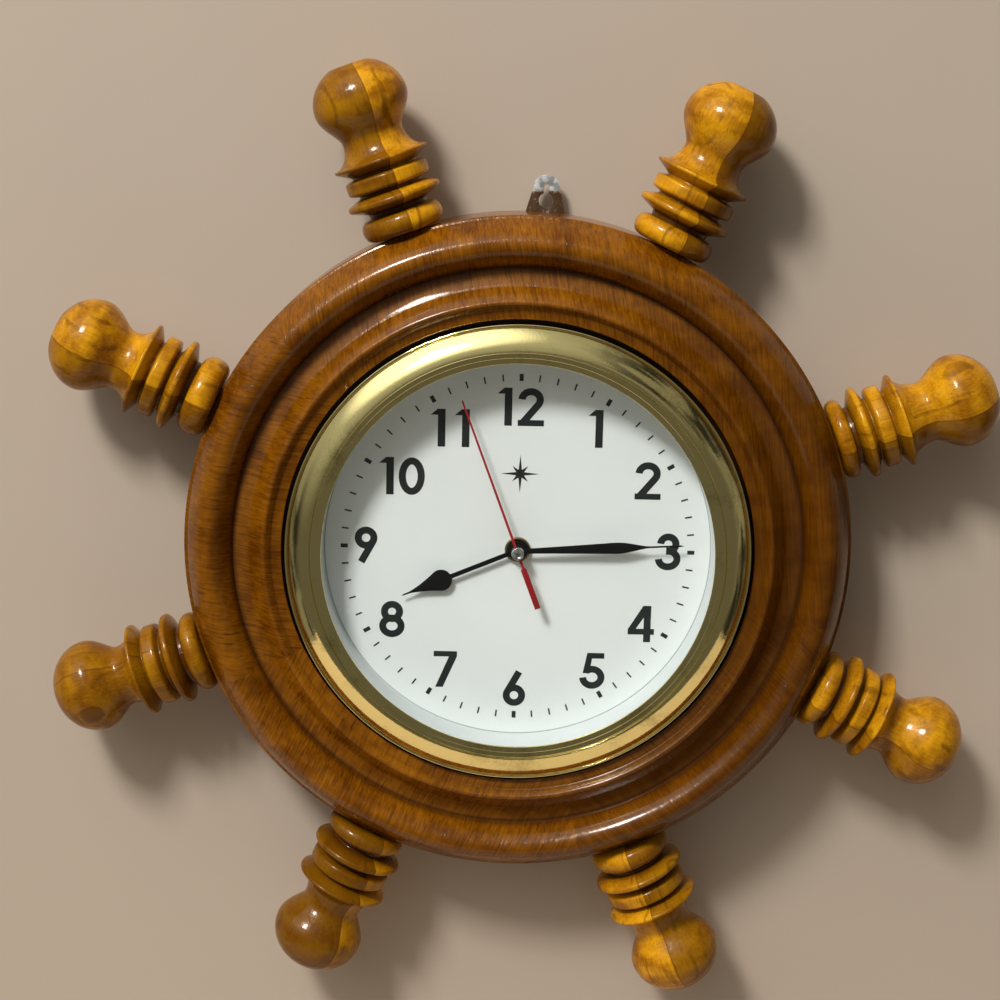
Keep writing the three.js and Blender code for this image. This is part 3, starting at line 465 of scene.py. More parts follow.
def makeRim(wood, bare):
    outerR, rebateR, spigotR, boreR, bandR = take(rim, "outerR rebateR spigotR boreR bandR")
    gapFloor, spigot, ledge = take(rim, "gapFloor spigotDepth ledgeDepth")
    outer = moulding((rim["shoulderR"], rim["shoulderDepth"]), (rim["coveOuterR"], rim["coveOuterDepth"]),
                     rim["outerRise"], 30)
    cove = moulding(outer[-1], (rim["arrisR"], rim["arrisDepth"]), -rim["coveDip"], 12)
    profile = eased([
        (rebateR, 0, 0.4), (outerR, 0, 2.2), (outerR, rim["sideDepth"], 0.8),
        *outer, *cove[1:-1], (*cove[-1], 0.5), rim["crest"],
        (rim["flankR"], rim["flankDepth"], 0.5), (bandR, rim["bandDepth"], 0.5),
        (bandR, gapFloor), (spigotR, gapFloor), (spigotR, spigot, 0.4), (boreR, spigot, 0.4),
        (boreR, ledge), (rebateR, ledge),
    ])
    mesh = turnedMesh("rim_turned", profile, rim["sides"])
    piece = addPiece(mesh, [wood, bare], "wheel", "wheel_rim")
    cutHangerPocket(piece)
    mesh = piece.data
    grain, tone, stain, dull = [], [], [], []
    for face in mesh.polygons:
        x, depth, z = fromSpot(face.center)
        degrees = math.degrees(math.atan2(x, z)) % 360
        board = boardAt(degrees)
        way = math.radians(rim["boards"][board][1])
        inRebate = math.hypot(x, z) < rebateR + 0.1 and depth < gapFloor
        face.material_index = 1 if depth < 0.05 or inRebate else 0
        for corner in face.loop_indices:
            px, pd, pz = fromSpot(mesh.vertices[mesh.loops[corner].vertex_index].co)
            along = px * math.sin(way) + pz * math.cos(way)
            across = px * math.cos(way) - pz * math.sin(way)
            grain.append((along + 311 * board, across + 47 * board, pd * 0.2))
            # tone by angle, with painted light and shade round the rim
            tone.append(toneAt(math.degrees(math.atan2(px, pz)) % 360))
            r = math.hypot(px, pz)
            # stain with painted shade in the rim's hollows
            stain.append(rimStain(r, pd))
            inCove = rim["arrisR"] + 1 < r < rim["coveOuterR"] + 0.01 and pd > gapFloor
            dull.append(1.0 if inCove else 0.0)
    farSeam = 9.0  # the rim has no glue line
    paint(mesh, grainAt=grain, tone=tone, stain=stain, dull=dull, seam=[farSeam] * len(tone))
    smoothed(mesh, 35)


def rimStain(r, depth):  # painted shade with some stain: darker in the crease below the outer bead and at the foot of the flank, fully dark in the gap by the bezel, a little darker at the outer edge
    crease = 0.65 * math.exp(-((r - rim["coveOuterR"]) / 1.7) ** 2)
    foot = 0.35 * math.exp(-((r - rim["flankR"]) / 0.8) ** 2)
    gap = 1.0 if r < rim["bandR"] + 0.05 and depth < rim["bandDepth"] - 0.4 else 0.0
    edge = 0.2 * math.exp(-((r - rim["outerR"]) / 0.9) ** 2)
    return min(1.0, crease + foot + gap + edge)


hanger = {"shift": 3.2, "half": 8.6, "tail": 30.0, "set": 0.1, "thick": 1.5, "room": 0.3}


def cutHangerPocket(piece):
    shift, half, room = take(hanger, "shift half room")
    left, right = shift - half - room, shift + half + room
    low, high = rim["outerR"] - hanger["tail"] - room, rim["outerR"] + 10
    corners = [(left, low), (right, low), (right, high), (left, high)]
    floor = hanger["set"] + hanger["thick"] + room
    carved(piece, slabMesh("pocket_tool", corners, -3, floor))


# Handles: turned from two glued halves; the seam's place and the tone of each half differ
handle = {
    "rimGap": 0.3, "depth": 21.6, "footR": 13.0, "beadR": 18.2, "neckR": 13.6, "ballR": 20.9,
    "ballRise": 15.0, "fullness": 0.8, "crownRise": 18.0, "flatR": 8.5, "sides": 96,
    # discs above the foot bead: radius, distance from the bead's end, rounding
    "grip": [(13.2, 1.0, 0.6), (13.2, 2.0, 0.5), (20.8, 5.0, 1.0), (20.8, 7.2, 1.0), (14.3, 9.8, 0.6),
             (14.3, 10.6, 0.4), (18.5, 11.7, 1.3), (18.5, 17.3, 1.1), (14.6, 18.4, 0.6), (14.6, 19.0, 0.4),
             (21.0, 22.6, 0.7), (21.0, 23.8, 0.8)],
    "beads": [10.0, 10.0, 7.1, 8.6, 9.8, 8.4, 8.2, 12.4],
    "necks": [10.0, 9.8, 11.4, 10.4, 11.6, 11.6, 8.5, 8.9],
    # angle, lean, seam angle from the front, tone of the clockwise half, tone of the other
    "each": [
        (-22.5, 0, 14, 1.15, 0.13), (22.5, 0, 13, -0.1, 1.0), (67.7, 0, 12, 0.05, 0.95),
        (112.2, 2, 18, 0.45, 0.90), (156.7, -3.5, 4, 1.15, 0.20), (203.8, -2, -30, -0.25, 0.70),
        (247.85, 0, 35, 0.20, 0.25), (292.7, -1.2, -6, 0.90, 0.25),
    ],
    # dark marks: handle, along, degrees from the front, size, strength
    "marks": [(6, 56, -24, 6.0, 1.0), (1, 66, 50, 7.0, 0.62), (5, 14, -12, 7.0, 0.30),
              (5, 27, 20, 8.0, 0.40), (5, 44, -30, 9.0, 0.48), (5, 58, -38, 9.0, 0.54),
              (7, 62, 30, 5.0, 0.2), (4, 9, 10, 6.0, 0.4)],
}


def handleProfile(index):
    length = handle["beads"][index]
    footR, neckR, ballR = take(handle, "footR neckR ballR")
    bead = []
    for i in range(15):
        turn = math.pi * i / 14
        r = footR + (handle["beadR"] - footR) * math.sin(turn) ** 0.75
        bead.append((r, length * (1 - math.cos(turn)) / 2))
    grip = [(r, length + along, soft) for r, along, soft in handle["grip"]]
    flareR, flareEnd = grip[-1][:2]
    neckLength = handle["necks"][index]
    neck = []
    for i in range(1, 11):
        turn = math.pi / 2 * i / 11
        r = flareR + (neckR - flareR) * math.sin(turn)
        neck.append((r, flareEnd + neckLength * (1 - math.cos(turn))))
    neckAt = flareEnd + neckLength
    ball = []
    for i in range(21):
        share = i / 20
        size = (1 - math.cos(math.pi * share ** handle["fullness"])) / 2
        ball.append((neckR + (ballR - neckR) * size, neckAt + handle["ballRise"] * share))
    ballAt = neckAt + handle["ballRise"]
    flatTurn = math.acos(handle["flatR"] / ballR)
    for i in range(1, 16):
        turn = flatTurn * i / 15
        ball.append((ballR * math.cos(turn), ballAt + handle["crownRise"] * math.sin(turn)))
    r, tip = ball.pop()
    ball += [(r, tip, 1.6), (0.01, tip)]
    return [(0, 0)] + eased(bead + grip + neck + ball, 5)[:-1] + [(0, tip)]


def makeHandle(index, wood):
    degrees, lean, seamAt, clockwiseTone, otherTone = handle["each"][index]
    base = ringSpot(rim["outerR"] + handle["rimGap"], handle["depth"], degrees)
    way = math.radians(degrees + lean)
    outward = Vector((math.sin(way), 0, math.cos(way)))
    clockwise = Vector((math.cos(way), 0, -math.sin(way)))
    front = Vector((0, -1, 0))

    def place(r, along, turn):
        turn = math.radians(turn)
        return base + (outward * along + (front * math.cos(turn) + clockwise * math.sin(turn)) * r) * mm

    number = index + 1
    mesh = turnedMesh("handle_turned_%d" % number, handleProfile(index), handle["sides"], place, seamAt)
    seamWay = math.radians(seamAt)
    acrossWay = clockwise * math.cos(seamWay) - front * math.sin(seamWay)
    faceWay = front * math.cos(seamWay) + clockwise * math.sin(seamWay)
    marks = [m for m in handle["marks"] if m[0] == index]
    grain, tone, stain, seam, mark = [], [], [], [], []
    for face in mesh.polygons:
        side = (face.center - base).dot(acrossWay) > 0
        for corner in face.loop_indices:
            point = mesh.vertices[mesh.loops[corner].vertex_index].co
            offset = (point - base) / mm
            along, across, towards = offset.dot(outward), offset.dot(acrossWay), offset.dot(faceWay)
            onward, aside = (53, 31) if side else (0, 0)  # each half has its own stretch of grain
            grain.append((along + 97 * index + onward, across + aside + 13 * index,
                          towards * (1 if side else -1) + 7 * index))
            tone.append(clockwiseTone if side else otherTone)
            r = math.hypot(across, towards)
            stain.append(handleStain(r, along, index))
            seam.append(across)
            mark.append(max([m[4] * math.exp(-((point - place(r, m[1], m[2])).length / mm / m[3]) ** 2)
                             for m in marks] or [0.0]))
    paint(mesh, grainAt=grain, tone=tone, stain=stain, seam=seam, mark=mark)
    addPiece(mesh, wood, "wheel", "handle_%d" % number, 30)


def handleStain(r, along, index):  # darker in the grooves, where the grip is thin
    grip = along - handle["beads"][index]
    if grip < -1 or grip > 21:
        return 0.0
    return max(0.0, min(1.0, (16.5 - r) / 3.0)) * 0.8


# Bezel, glass and the white wall round the dial
bezel = {
    "outerR": 103.1, "skirtR": 102.1, "skirtBack": 30.05, "edgeDepth": 41.8, "edgeWidth": 0.9,
    "faceR": 101.9, "ridgeR": 91.9, "ridgeDepth": 47.35, "crown": 1.0, "line": 0.4, "bandDepth": 46.9,
    "stepR": 89.3, "step": 0.08, "lipR": 86.6, "lipBack": 45.9, "wall": 1.0, "sides": 256,
}
glassPane = {"r": 91.3, "back": 43.85, "front": 45.85, "bevel": 0.3, "sides": 192}
whiteWall = {"innerR": 87.2, "outerR": 90.7, "back": 27.0, "front": 43.8, "foot": 0.3, "sides": 192}


def makeBezel(brass):
    outerR, skirtR, faceR, ridgeR, stepR, lipR = take(bezel, "outerR skirtR faceR ridgeR stepR lipR")
    skirtBack, edge, ridge, band, lipBack = take(bezel, "skirtBack edgeDepth ridgeDepth bandDepth lipBack")
    line, step, crown = take(bezel, "line step crown")
    face = moulding((faceR, edge), (ridgeR, ridge), crown, 14)
    under = moulding((ridgeR, lipBack), (skirtR, edge - bezel["wall"]), crown, 8)
    profile = eased([
        (skirtR, skirtBack), (outerR, skirtBack, 0.3), (outerR, edge, 0.5),
        (outerR - bezel["edgeWidth"], edge, 0.4), (faceR + 0.2, edge - line), *face[:-1], (*face[-1], 0.12),
        (ridgeR - 0.15, ridge - line * 1.6), (ridgeR - 0.6, band, 0.1), (stepR, band, 0.05),
        (stepR - 0.15, band - step), (lipR, band - step, 0.4), (lipR, lipBack, 0.2), *under,
    ])
    mesh = turnedMesh("bezel_spun", profile, bezel["sides"])
    addPiece(mesh, brass, "wheel", "bezel", 28)


def makeGlass(clear):
    r, back, front, bevel = take(glassPane, "r back front bevel")
    profile = [(0, back), (r - bevel, back), (r, back + bevel), (r, front - bevel), (r - bevel, front),
               (0, front)]
    mesh = turnedMesh("glass_pane", profile, glassPane["sides"])
    addPiece(mesh, clear, "wheel", "glass")


def makeWhiteWall(white):
    inner, outer, back, front, foot = take(whiteWall, "innerR outerR back front foot")
    profile = eased([(inner - foot, back, 0.15), (outer, back), (outer, front), (inner, front, 0.3),
                     (inner, back + foot, foot), (inner - foot, back + 0.15)])
    mesh = turnedMesh("white_wall", profile, whiteWall["sides"])
    addPiece(mesh, white, "wheel", "spacer_ring")


# Dial with its print
# a thin grey ring of painted shade lies where the white wall meets the dial
dial = {"innerR": 4.65, "outerR": 90.7, "back": 26.15, "front": 26.95, "ink": 0.06, "sunk": 0.02,
        "sides": 192, "tickR": 77.8, "tick": (0.70, 3.1), "hourTick": (1.8, 3.2), "starAt": (-1.0, 34.5),
        "star": (8.6, 5.0, 1.9), "shadeLineR": 86.6, "shadeLine": 0.3}
# numerals: height, half the width of a stroke, and the gap between two digits
digits = {"height": 17.0, "half": 1.58, "gap": 2.2, "gapIn11": 4.1}
hourSpots = [(31.1, 56.8), (56.0, 34.7), (67.5, 2.8), (58.0, -31.4), (37.4, -54.9), (2.5, -65.2),
             (-29.4, -58.1), (-54.7, -36.0), (-68.0, -2.3), (-53.5, 30.3), (-33.3, 53.3), (-2.5, 64.6)]


def arc(x, y, rx, ry, start, end, steps=24):  # degrees from +x, anticlockwise
    turns = [math.radians(start + (end - start) * i / steps) for i in range(steps + 1)]
    return [(x + rx * math.cos(t), y + ry * math.sin(t)) for t in turns]


def stroke(path, half, closed=False):  # a line of one width as small outlines side by side
    points = [Vector(p) for p in path]
    count = len(points)
    edges = []
    for i, point in enumerate(points):
        before = points[i - 1] if i or closed else point
        after = points[(i + 1) % count] if i < count - 1 or closed else point
        arms = [d.normalized() for d in (point - before, after - point) if d.length > 1e-6]
        way = sum(arms, Vector((0, 0))).normalized()
        side = Vector((-way.y, way.x))
        spread = half / max(0.5, side.dot(Vector((-arms[0].y, arms[0].x))))
        edges.append((point + side * spread, point - side * spread))
    quads = []
    for i in range(count if closed else count - 1):
        (left, right), (nextLeft, nextRight) = edges[i], edges[(i + 1) % count]
        quads.append([left, right, nextRight, nextLeft])
    return quads


def digitShapes(digit):  # outlines of one numeral and its width
    h, w = digits["height"], digits["half"]
    if digit == "0":
        return stroke(arc(5.8, h / 2, 5.8 - w, h / 2 - w, 0, 360, 40)[:-1], w, True), 11.6
    if digit == "1":
        return [[(0, h - 2.7), (3.1, h), (6.6, h), (6.6, h - 2.7)],
                [(3.25, h - 2.7), (6.6, h - 2.7), (6.6, 0), (3.25, 0)]], 6.6
    if digit == "2":
        bow = arc(6.1, h - 5.2, 5.6 - w, 5.2 - w, 178, -38)
        foot = [(0.4, 0), (12.0, 0), (12.0, 2.7), (0.4, 2.7)]
        heel = [(0.4, 0), (4.4, 0), (4.4, 2.9), (2.0, 3.2)]
        return stroke(bow + [(2.7, 1.6)], w) + [foot, heel], 12.2
    if digit == "3":
        top = arc(5.75, h - 4.9, 5.0 - w, 4.9 - w, 178, -90)
        low = arc(5.75, 5.25, 5.75 - w, 5.25 - w, 90, -178)
        return stroke(top + [(4.9, h - 9.8 + w)], w) + stroke([(4.9, 10.5 - w)] + low, w), 11.5
    if digit == "4":
        return [[(7.1, 0), (10.3, 0), (10.3, h), (7.1, h)], [(0, 3.5), (11.9, 3.5), (11.9, 6.2), (0, 6.2)],
                [(0, 3.5), (3.4, 5.9), (7.4, 12.0), (7.4, h), (6.7, h), (0, 5.9)]], 11.9
    if digit == "5":
        bowl = arc(5.75, 5.45, 5.75 - w, 5.45 - w, 130, -178)
        flag = [(3.4, h), (11.1, h), (11.1, h - 2.6), (3.4, h - 2.6)]
        return stroke(bowl, w) + [flag, [(3.4, h), (6.0, h), (4.5, 7.3), (1.5, 7.4)]], 11.5
    if digit == "6":
        ring = arc(5.1, 5.1, 5.1 - w, 5.1 - w, 0, 360, 36)[:-1]
        return stroke(ring, w, True) + stroke([(7.2, h - 0.7), (2.15, 7.0)], w), 10.2
    if digit == "7":
        return [[(0, h - 2.5), (10.6, h - 2.5), (10.6, h), (0, h)],
                [(7.0, h - 2.4), (0.9, 0), (4.3, 0), (10.6, h - 2.4)]], 10.6
    if digit == "8":
        top = arc(5.75, h - 4.95, 5.0 - w, 4.95 - w, 0, 360, 32)[:-1]
        low = arc(5.75, 5.3, 5.75 - w, 5.3 - w, 0, 360, 36)[:-1]
        return stroke(top, w, True) + stroke(low, w, True), 11.5
    six, width = digitShapes("6")
    return [[(width - x, h - y) for x, y in outline] for outline in six], width


def anticlockwise(outline):
    corners = [Vector(p) for p in outline]
    turns = sum(a.cross(b) for a, b in zip(corners, corners[1:] + corners[:1]))
    return corners if turns > 0 else corners[::-1]


def inkMesh(name, outlines, back, front):  # overlapping outlines merged into one thin print
    points, faces = [], []
    for outline in outlines:
        faces.append(list(range(len(points), len(points) + len(outline))))
        points += anticlockwise(outline)
    flat, _, triangles, _, _, owners = delaunay_2d_cdt(points, [], faces, 0, 1e-5)
    kept = [tri for tri, owner in zip(triangles, owners) if owner]
    count = len(flat)
    places = [spot(p.x, front, p.y) for p in flat] + [spot(p.x, back, p.y) for p in flat]
    solid = [list(tri) for tri in kept] + [[i + count for i in reversed(tri)] for tri in kept]
    seen = dict.fromkeys((a, b) for tri in kept for a, b in zip(tri, (*tri[1:], tri[0])))
    solid += [[a, a + count, b + count, b] for a, b in seen if (b, a) not in seen]
    mesh = newMesh(name, places, solid)
    work = bmesh.new()
    work.from_mesh(mesh)
    bmesh.ops.delete(work, geom=[v for v in work.verts if not v.link_faces], context="VERTS")
    bmesh.ops.dissolve_limit(work, angle_limit=math.radians(1), verts=work.verts, edges=work.edges)
    work.to_mesh(mesh)
    work.free()
    return mesh


def tilted(outline, x, z, degrees):
    swing = Matrix.Rotation(-math.radians(degrees), 2)
    return [swing @ Vector(p) + Vector((x, z)) for p in outline]


def numeralOutlines():
    outlines = []
    for hour, (x, z) in enumerate(hourSpots, 1):
        glyphs = [digitShapes(d) for d in str(hour)]
        gap = digits["gapIn11"] if hour == 11 else digits["gap"]
        width = sum(w for _, w in glyphs) + gap * (len(glyphs) - 1)
        left = -width / 2
        for shapes, w in glyphs:
            for outline in shapes:
                moved = [(p[0] + left, p[1] - digits["height"] / 2) for p in outline]
                outlines.append(tilted(moved, x, z, dialTilt))
            left += w + gap
    return outlines


def tickOutlines():
    outlines = []
    for minute in range(60):
        wide, long = dial["hourTick"] if minute % 5 == 0 else dial["tick"]
        low, high = dial["tickR"] - long / 2, dial["tickR"] + long / 2
        corners = [(-wide / 2, low), (wide / 2, low), (wide / 2, high), (-wide / 2, high)]
        outlines.append(tilted(corners, 0, 0, minute * 6 + dialTilt))
    return outlines


def starOutlines():  # a plain compass star
    longR, shortR, innerR = dial["star"]
    points = []
    for i in range(16):
        r = innerR if i % 2 else (longR if i % 4 == 0 else shortR)
        turn = math.tau * i / 16
        points.append((r * math.sin(turn), r * math.cos(turn)))
    return [tilted(points, *dial["starAt"], dialTilt)]


def makeDial(white, ink, shade):
    inner, outer, back, front = take(dial, "innerR outerR back front")
    profile = eased([(inner, back), (outer, back), (outer, front, 0.1), (inner, front, 0.1)])
    addPiece(turnedMesh("dial_disc", profile, dial["sides"]), white, "wheel", "dial")
    # a grey ring of painted shade where the white wall meets the dial
    ring = arc(0, 0, dial["shadeLineR"], dial["shadeLineR"], 0, 360, dial["sides"])[:-1]
    shadeLine = stroke(ring, dial["shadeLine"] / 2, True)
    prints = (("dial_numerals", numeralOutlines(), ink), ("dial_ticks", tickOutlines(), ink),
              ("dial_star", starOutlines(), ink), ("dial_shade_line", shadeLine, shade))
    for name, outlines, finish in prints:
        mesh = inkMesh(name, outlines, front - dial["sunk"], front + dial["ink"])
        addPiece(mesh, finish)


# Hands: half outlines as (half width, reach), and the depth each one lies at
hourHand = {"turn": 244.7, "reach": 56.4, "bulbAt": 37.0, "bulbR": 4.9, "stem": 1.05, "tip": 0.36,
            "holeR": 2.6, "hubR": 4.3, "hub": (29.45, 30.85)}
minuteHand = {"turn": 84.6, "reach": 74.6, "wideAt": 44.0, "wide": 2.6, "stem": 1.05, "tip": 0.40,
              "holeR": 1.6, "hubR": 3.3, "hub": (31.25, 32.65)}
secondHand = {"turn": 337.0, "reach": 73.4, "tail": 27.2, "paddleAt": 8.0, "paddle": 1.3, "needle": 0.6,
              "tip": 0.42, "capR": 2.8, "cap": (33.05, 37.05), "needleAt": 34.65}
handThick = 0.5


def handSlab(name, half, back, turn):
    left = [(-x, z) for x, z in reversed(half) if x > 0]
    return slabMesh(name, list(half) + left, back, back + handThick, turn)


def hourOutline():
    stem, bulbR, at, reach, tip = take(hourHand, "stem bulbR bulbAt reach tip")
    start = math.asin(stem / bulbR)
    end = math.radians(118)
    points = [(stem, 0)]
    for i in range(17):
        turn = start + (end - start) * i / 16
        points.append((bulbR * math.sin(turn), at - bulbR * math.cos(turn)))
    x0, z0 = points[-1]
    for i in range(1, 12):  # the sides draw in hollow to the tip
        t = i / 12
        points.append((max(tip, x0 * (1 - t) ** 1.65), z0 + (reach - z0) * t))
    return points + [(0, reach)]


def minuteOutline():
    stem, wide, at, reach, tip = take(minuteHand, "stem wide wideAt reach tip")
    points = [(stem, 0)]
    for i in range(1, 13):
        t = i / 12
        points.append((stem + (wide - stem) * t ** 1.15, at * t))
    for i in range(1, 16):
        t = i / 16
        narrowing = (0.5 + 0.5 * math.cos(math.pi * min(1, t * 1.55))) ** 1.1
        points.append((max(tip, wide * narrowing), at + (reach - at) * t))
    return points + [(0, reach)]


def makeHands(black, red, steel):
    for name, hand, outline in (("hour", hourHand, hourOutline()), ("minute", minuteHand, minuteOutline())):
        body = name + "_hand"
        back, front = hand["hub"]
        mesh = handSlab(name + "_blade", outline, back, hand["turn"])
        softened(addPiece(mesh, black, body, body), 0.16)
        inner, outer = hand["holeR"], hand["hubR"]
        profile = eased([(inner, back), (outer, back, 0.15), (outer, front, 0.35), (inner, front, 0.15)])
        addPiece(turnedMesh(name + "_hub", profile, 64), black, body)
    needle, paddle, reach, tip = take(secondHand, "needle paddle reach tip")
    at, tail = -secondHand["paddleAt"], -secondHand["tail"]
    outline = [(paddle, tail), (paddle, at), (needle, at + 0.5), (needle, 0), (tip, reach - 1), (0, reach)]
    mesh = handSlab("second_blade", outline, secondHand["needleAt"], secondHand["turn"])
    softened(addPiece(mesh, red, "second_hand", "second_hand"), 0.1)
    r, (back, front) = take(secondHand, "capR cap")
    profile = eased([(0, back), (r, back, 0.2), (r, front, 0.7), (r - 0.9, front, 0.3),
                     (r - 1.1, front - 0.9, 0.3), (0, front - 0.7)])
    addPiece(turnedMesh("second_cap", profile, 48), steel, "second_hand")


# Nut and washer that clamp the dial
nut = {"innerR": 4.65, "r": 5.8, "back": 27.45, "front": 28.85, "washerR": 5.6, "washer": (27.0, 27.4)}


def makeNut(brass):
    inner, r, back, front = take(nut, "innerR r back front")
    profile = eased([(inner, back), (r, back, 0.2), (r, front, 0.5), (inner, front, 0.2)])
    addPiece(turnedMesh("nut_round", profile, 64), brass, "wheel", "shaft_nut")
    r, (back, front) = take(nut, "washerR washer")
    profile = eased([(inner, back), (r, back, 0.15), (r, front, 0.25), (inner, front, 0.15)])
    addPiece(turnedMesh("nut_washer", profile, 64), brass, "wheel", "dial_washer")


# Back: board, screws, movement and battery
board = {"innerR": 4.65, "outerR": 97.5, "back": 22.1, "front": 26.1, "sides": 160}
screws = {"headR": 3.2, "shankR": 1.5, "head": 1.6, "slot": (4.6, 0.75, 0.7),
          "board": [(94.4, a) for a in (45, 135, 225, 315)], "hanger": [(3.2, 140.0), (3.2, 128.0)]}


def makeBoard(fibre):
    inner, outer, back, front = take(board, "innerR outerR back front")
    profile = eased([(inner, back, 0.2), (outer, back, 0.4), (outer, front, 0.4), (inner, front, 0.2)])
    mesh = turnedMesh("board_disc", profile, board["sides"])
    addPiece(mesh, fibre, "wheel", "dial_board")


def makeScrew(node, x, z, head, turn, steel):
    headR, shankR = screws["headR"], screws["shankR"]
    profile = eased([(0, head), (headR, head, 0.25), (headR, head + 0.35, 0.15),
                     (shankR, head + screws["head"]), (shankR, head + 6), (0, head + 7)])

    def place(r, depth, degrees):
        way = math.radians(degrees)
        return spot(x + r * math.sin(way), depth, z + r * math.cos(way))

    mesh = turnedMesh(node.replace("screw", "screw_cut"), profile, 40, place)
    piece = addPiece(mesh, steel, "wheel", node)
    long, wide, deep = screws["slot"]
    bar = [(-long / 2, -wide / 2), (long / 2, -wide / 2), (long / 2, wide / 2), (-long / 2, wide / 2)]
    for extra in (0, 90):
        swing = math.radians(turn + extra)
        c, s = math.cos(swing), math.sin(swing)
        corners = [(x + dx * c - dz * s, z + dx * s + dz * c) for dx, dz in bar]
        carved(piece, slabMesh("slot_tool", corners, head - 1, head + deep))
    smoothed(piece.data, 35)


def makeBack(fibre, steel, hangerSteel, black, rubber, sleeve):
    makeBoard(fibre)
    for i, (r, degrees) in enumerate(screws["board"]):
        turn = math.radians(degrees)
        makeScrew("board_screw_%d" % (i + 1), r * math.cos(turn), r * math.sin(turn), board["back"],
                  17 + 31 * i, steel)
    for i, (x, z) in enumerate(screws["hanger"]):
        makeScrew("hanger_screw_%d" % (i + 1), x, z, hanger["set"], 8 + 40 * i, steel)
    softCopy("hanger_tab", hangerSteel, 0.25)
    softCopy("movement_case", black, 0.35)
    softCopy("movement_cover", black, 0.35)
    softCopy("setting_knob", black, 0.2, "setting_knob")
    softCopy("contact_plus", steel, 0.1)
    softCopy("contact_minus", steel, 0.1)
    softCopy("rubber_washer", rubber, 0.2)
    makeBattery(sleeve, steel)


battery = {"r": 7.25, "length": 49.5, "nubR": 2.75, "nub": 1.0, "sides": 64, "can": 1.2}


def makeBattery(sleeve, steel):
    low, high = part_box("battery")
    middle = (low + high) / 2
    half = battery["length"] / 2
    r, nub, nubR, edge = take(battery, "r nub nubR can")

    def place(radius, along, degrees):
        turn = math.radians(degrees)
        return middle + Vector((along, -radius * math.cos(turn), radius * math.sin(turn))) * mm

    can = eased([(0, -half), (r - 0.7, -half, 0.3), (r - 0.25, -half + 0.35, 0.3),
                 (r - 0.25, half - nub - 0.3, 0.3), (r - 0.9, half - nub, 0.3), (nubR, half - nub, 0.3),
                 (nubR, half, 0.4), (0, half)])
    mesh = turnedMesh("battery_can", can, battery["sides"], place)
    addPiece(mesh, steel, "battery", "battery")
    wrap = eased([(r - 0.2, -half + edge * 0.6), (r, -half + edge * 0.6, 0.2),
                  (r, half - nub - edge * 0.5, 0.3), (r - 0.2, half - nub - edge * 0.3)])
    mesh = turnedMesh("battery_sleeve", wrap, battery["sides"], place)
    addPiece(mesh, sleeve, "battery")


def sleeveFinish(name):
    finish, wire, feed = newFinish(name)
    place = wire.here()
    along = place.part("X") - axisAt.x
    band = along.between(9.0, 9.4)
    scuff = place.cloud(0.5, 4.0).between(0.55, 0.75)
    body = band.tint((0.018, 0.020, 0.026), (0.55, 0.30, 0.09))
    feed("Base Color", (scuff * 0.25).tint(body, (0.30, 0.30, 0.30)))
    feed("Roughness", scuff * 0.25 + 0.24)
    feed("Metallic", band * 0.6)
    feed("Normal", place.cloud(0.8, 2.0).bumped(0.1, 0.0002))
    return finish


# Stage: a plain wall behind the clock and a plain floor below it
stage = {"wall": (0.43, 0.355, 0.285), "floor": (0.60, 0.50, 0.40), "wallBack": 0.006, "wallX": (-4, 4),
         "wallZ": (-0.62, 3), "floorDrop": -0.62, "floorX": (-0.60, 0.80), "floorY": (-0.46, 1.8)}


def makeStage():
    def corners(across, along):
        (left, right), (near, far) = stage[across], stage[along]
        return ((left, near), (right, near), (right, far), (left, far))

    places = [Vector((x, stage["wallBack"], z)) for x, z in corners("wallX", "wallZ")]
    wall = newMesh("wall", places, [[0, 1, 2, 3]])
    places = [Vector((x, y, stage["floorDrop"])) for x, y in corners("floorX", "floorY")]
    floor = newMesh("floor", places, [[0, 1, 2, 3]])
    for mesh, facing in ((wall, (0, -1, 0)), (floor, (0, 0, 1))):
        colour = stage[mesh.name]
        if mesh.polygons[0].normal.dot(Vector(facing)) < 0:
            mesh.flip_normals()
        finish, wire = bareFinish(mesh.name + "_paint")
        mottle = wire.here().cloud(0.004)
        pale = mottle.between(0.3, 0.7).tint(tuple(c * 0.97 for c in colour), colour)
        matt = wire.node("ShaderNodeBsdfDiffuse", {}, {"Color": pale})
        seeThrough = wire.node("ShaderNodeBsdfTransparent", {}, {})
        behind = wire.node("ShaderNodeNewGeometry", {}, {}, "Backfacing")
        lamp = wire.node("ShaderNodeLightPath", {}, {}, "Is Shadow Ray")
        # both are open from behind and to the lamps, so that the clock's back can be seen
        isOpen = behind.maths("MAXIMUM", lamp)
        outputOf(wire.node("ShaderNodeMixShader", {}, {0: isOpen, 1: matt, 2: seeThrough}))
        piece = newObject(mesh.name, mesh)
        mesh.materials.append(finish)


lamps = {
    "key": {"from": (-0.99, -1.49, 1.72), "size": 0.45, "power": 62.0, "colour": (1.0, 0.985, 0.96)},
    "back": {"from": (0.5, 1.5, 0.7), "size": 1.2, "power": 14.0, "colour": (1.0, 1.0, 1.0)},
}
worldLight = {"towards": (-0.45, -0.45, 0.77), "dim": (0.025, 0.024, 0.021), "lit": (0.250, 0.237, 0.205),
              "plain": (0.130, 0.124, 0.108),
              "ceiling": (0.45, 0.88, (0.50, 0.50, 0.47)), "window": (0.82, 0.97, (2.0, 2.0, 1.95))}


